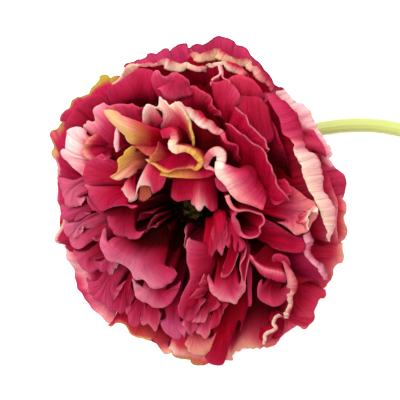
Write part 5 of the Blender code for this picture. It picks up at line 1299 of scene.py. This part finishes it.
UNDER = [
    *under_petals(count=7, first=12, reach=54, rise=1, half=34, leave=0, arrive=2),
    *under_petals(count=7, first=38, reach=44, rise=5, half=34, leave=4, arrive=6),
]
WHORLS = {
    "guard_petals": GUARDS,
    "under_petals": UNDER,
    "upper_petals": UPPER,
    "right_petals": RIGHT,
    "lower_petals": LOWER,
    "left_petals": LEFT,
    "heart_petals": HEART,
}

petal_tissue = petal_material()
pieces = [petals_piece(name, petals, petal_tissue) for name, petals in WHORLS.items()]
pieces.append(receptacle_piece(petal_tissue))
for piece in pieces:
    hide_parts("petals")
    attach(piece, "root")

finishes = {"stem": stem_material(), "capsule": capsule_material(), "stamens": stamen_material()}
for name, material in finishes.items():
    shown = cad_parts[name]
    shown.data.materials.clear()
    shown.data.materials.append(material)

# Table, light and camera, in metres
TABLE_REACH = 3
TABLE_GLOW = 0.5            # lifts the table to the photograph's near white
SKY_STRENGTH = 0.5
SENSOR_WIDTH = 36           # mm
UNDER_CAMERA = Vector(-BOX_MIDDLE * MM)

table_mesh = bpy.data.meshes.new("table")
corners = [(x * TABLE_REACH, y * TABLE_REACH, 0) for x, y in ((-1, -1), (1, -1), (1, 1), (-1, 1))]
table_mesh.from_pydata(corners, [], [(0, 1, 2, 3)])
table_top = plain_material("pale_table", TABLE_WHITE, roughness=0.9, specular=0.1)
table_shader = table_top.node_tree.nodes["Principled BSDF"]
table_shader.inputs["Emission Color"].default_value = colour("#FFFFFF")
table_shader.inputs["Emission Strength"].default_value = TABLE_GLOW
table_mesh.materials.append(table_top)
table = bpy.data.objects.new("table", table_mesh)
bpy.context.scene.collection.objects.link(table)


def softbox(name, place, size, power):
    """A square soft light of this many watts, turned to the flower."""
    light = bpy.data.lights.new(name, "AREA")
    light.size = size
    light.energy = power
    made = bpy.data.objects.new(name, light)
    bpy.context.scene.collection.objects.link(made)
    made.location = UNDER_CAMERA + Vector(place)
    made.rotation_euler = (-Vector(place)).to_track_quat("-Z", "Y").to_euler()


softbox("key", (-0.35, 0.45, 1.0), size=1.2, power=18)
softbox("overhead", (0.1, -0.1, 1.3), size=1.6, power=6.8)

world = bpy.data.worlds.new("studio")
world.use_nodes = True
world.node_tree.nodes["Background"].inputs["Color"].default_value = colour("#FFFFFF")
world.node_tree.nodes["Background"].inputs["Strength"].default_value = SKY_STRENGTH
bpy.context.scene.world = world
bpy.context.scene.view_settings.view_transform = "Standard"

camera = bpy.data.cameras.new("camera")
camera.sensor_width = SENSOR_WIDTH
camera.lens = SENSOR_WIDTH / (PICTURE_SIDE * PICTURE_POINT) * (CAMERA_HEIGHT - BLOOM_HEIGHT)
camera.clip_start = 0.01
camera.clip_end = 20
eye = bpy.data.objects.new("camera", camera)
bpy.context.scene.collection.objects.link(eye)
eye.location = UNDER_CAMERA + Vector((0, 0, CAMERA_HEIGHT * MM))
bpy.context.scene.camera = eye
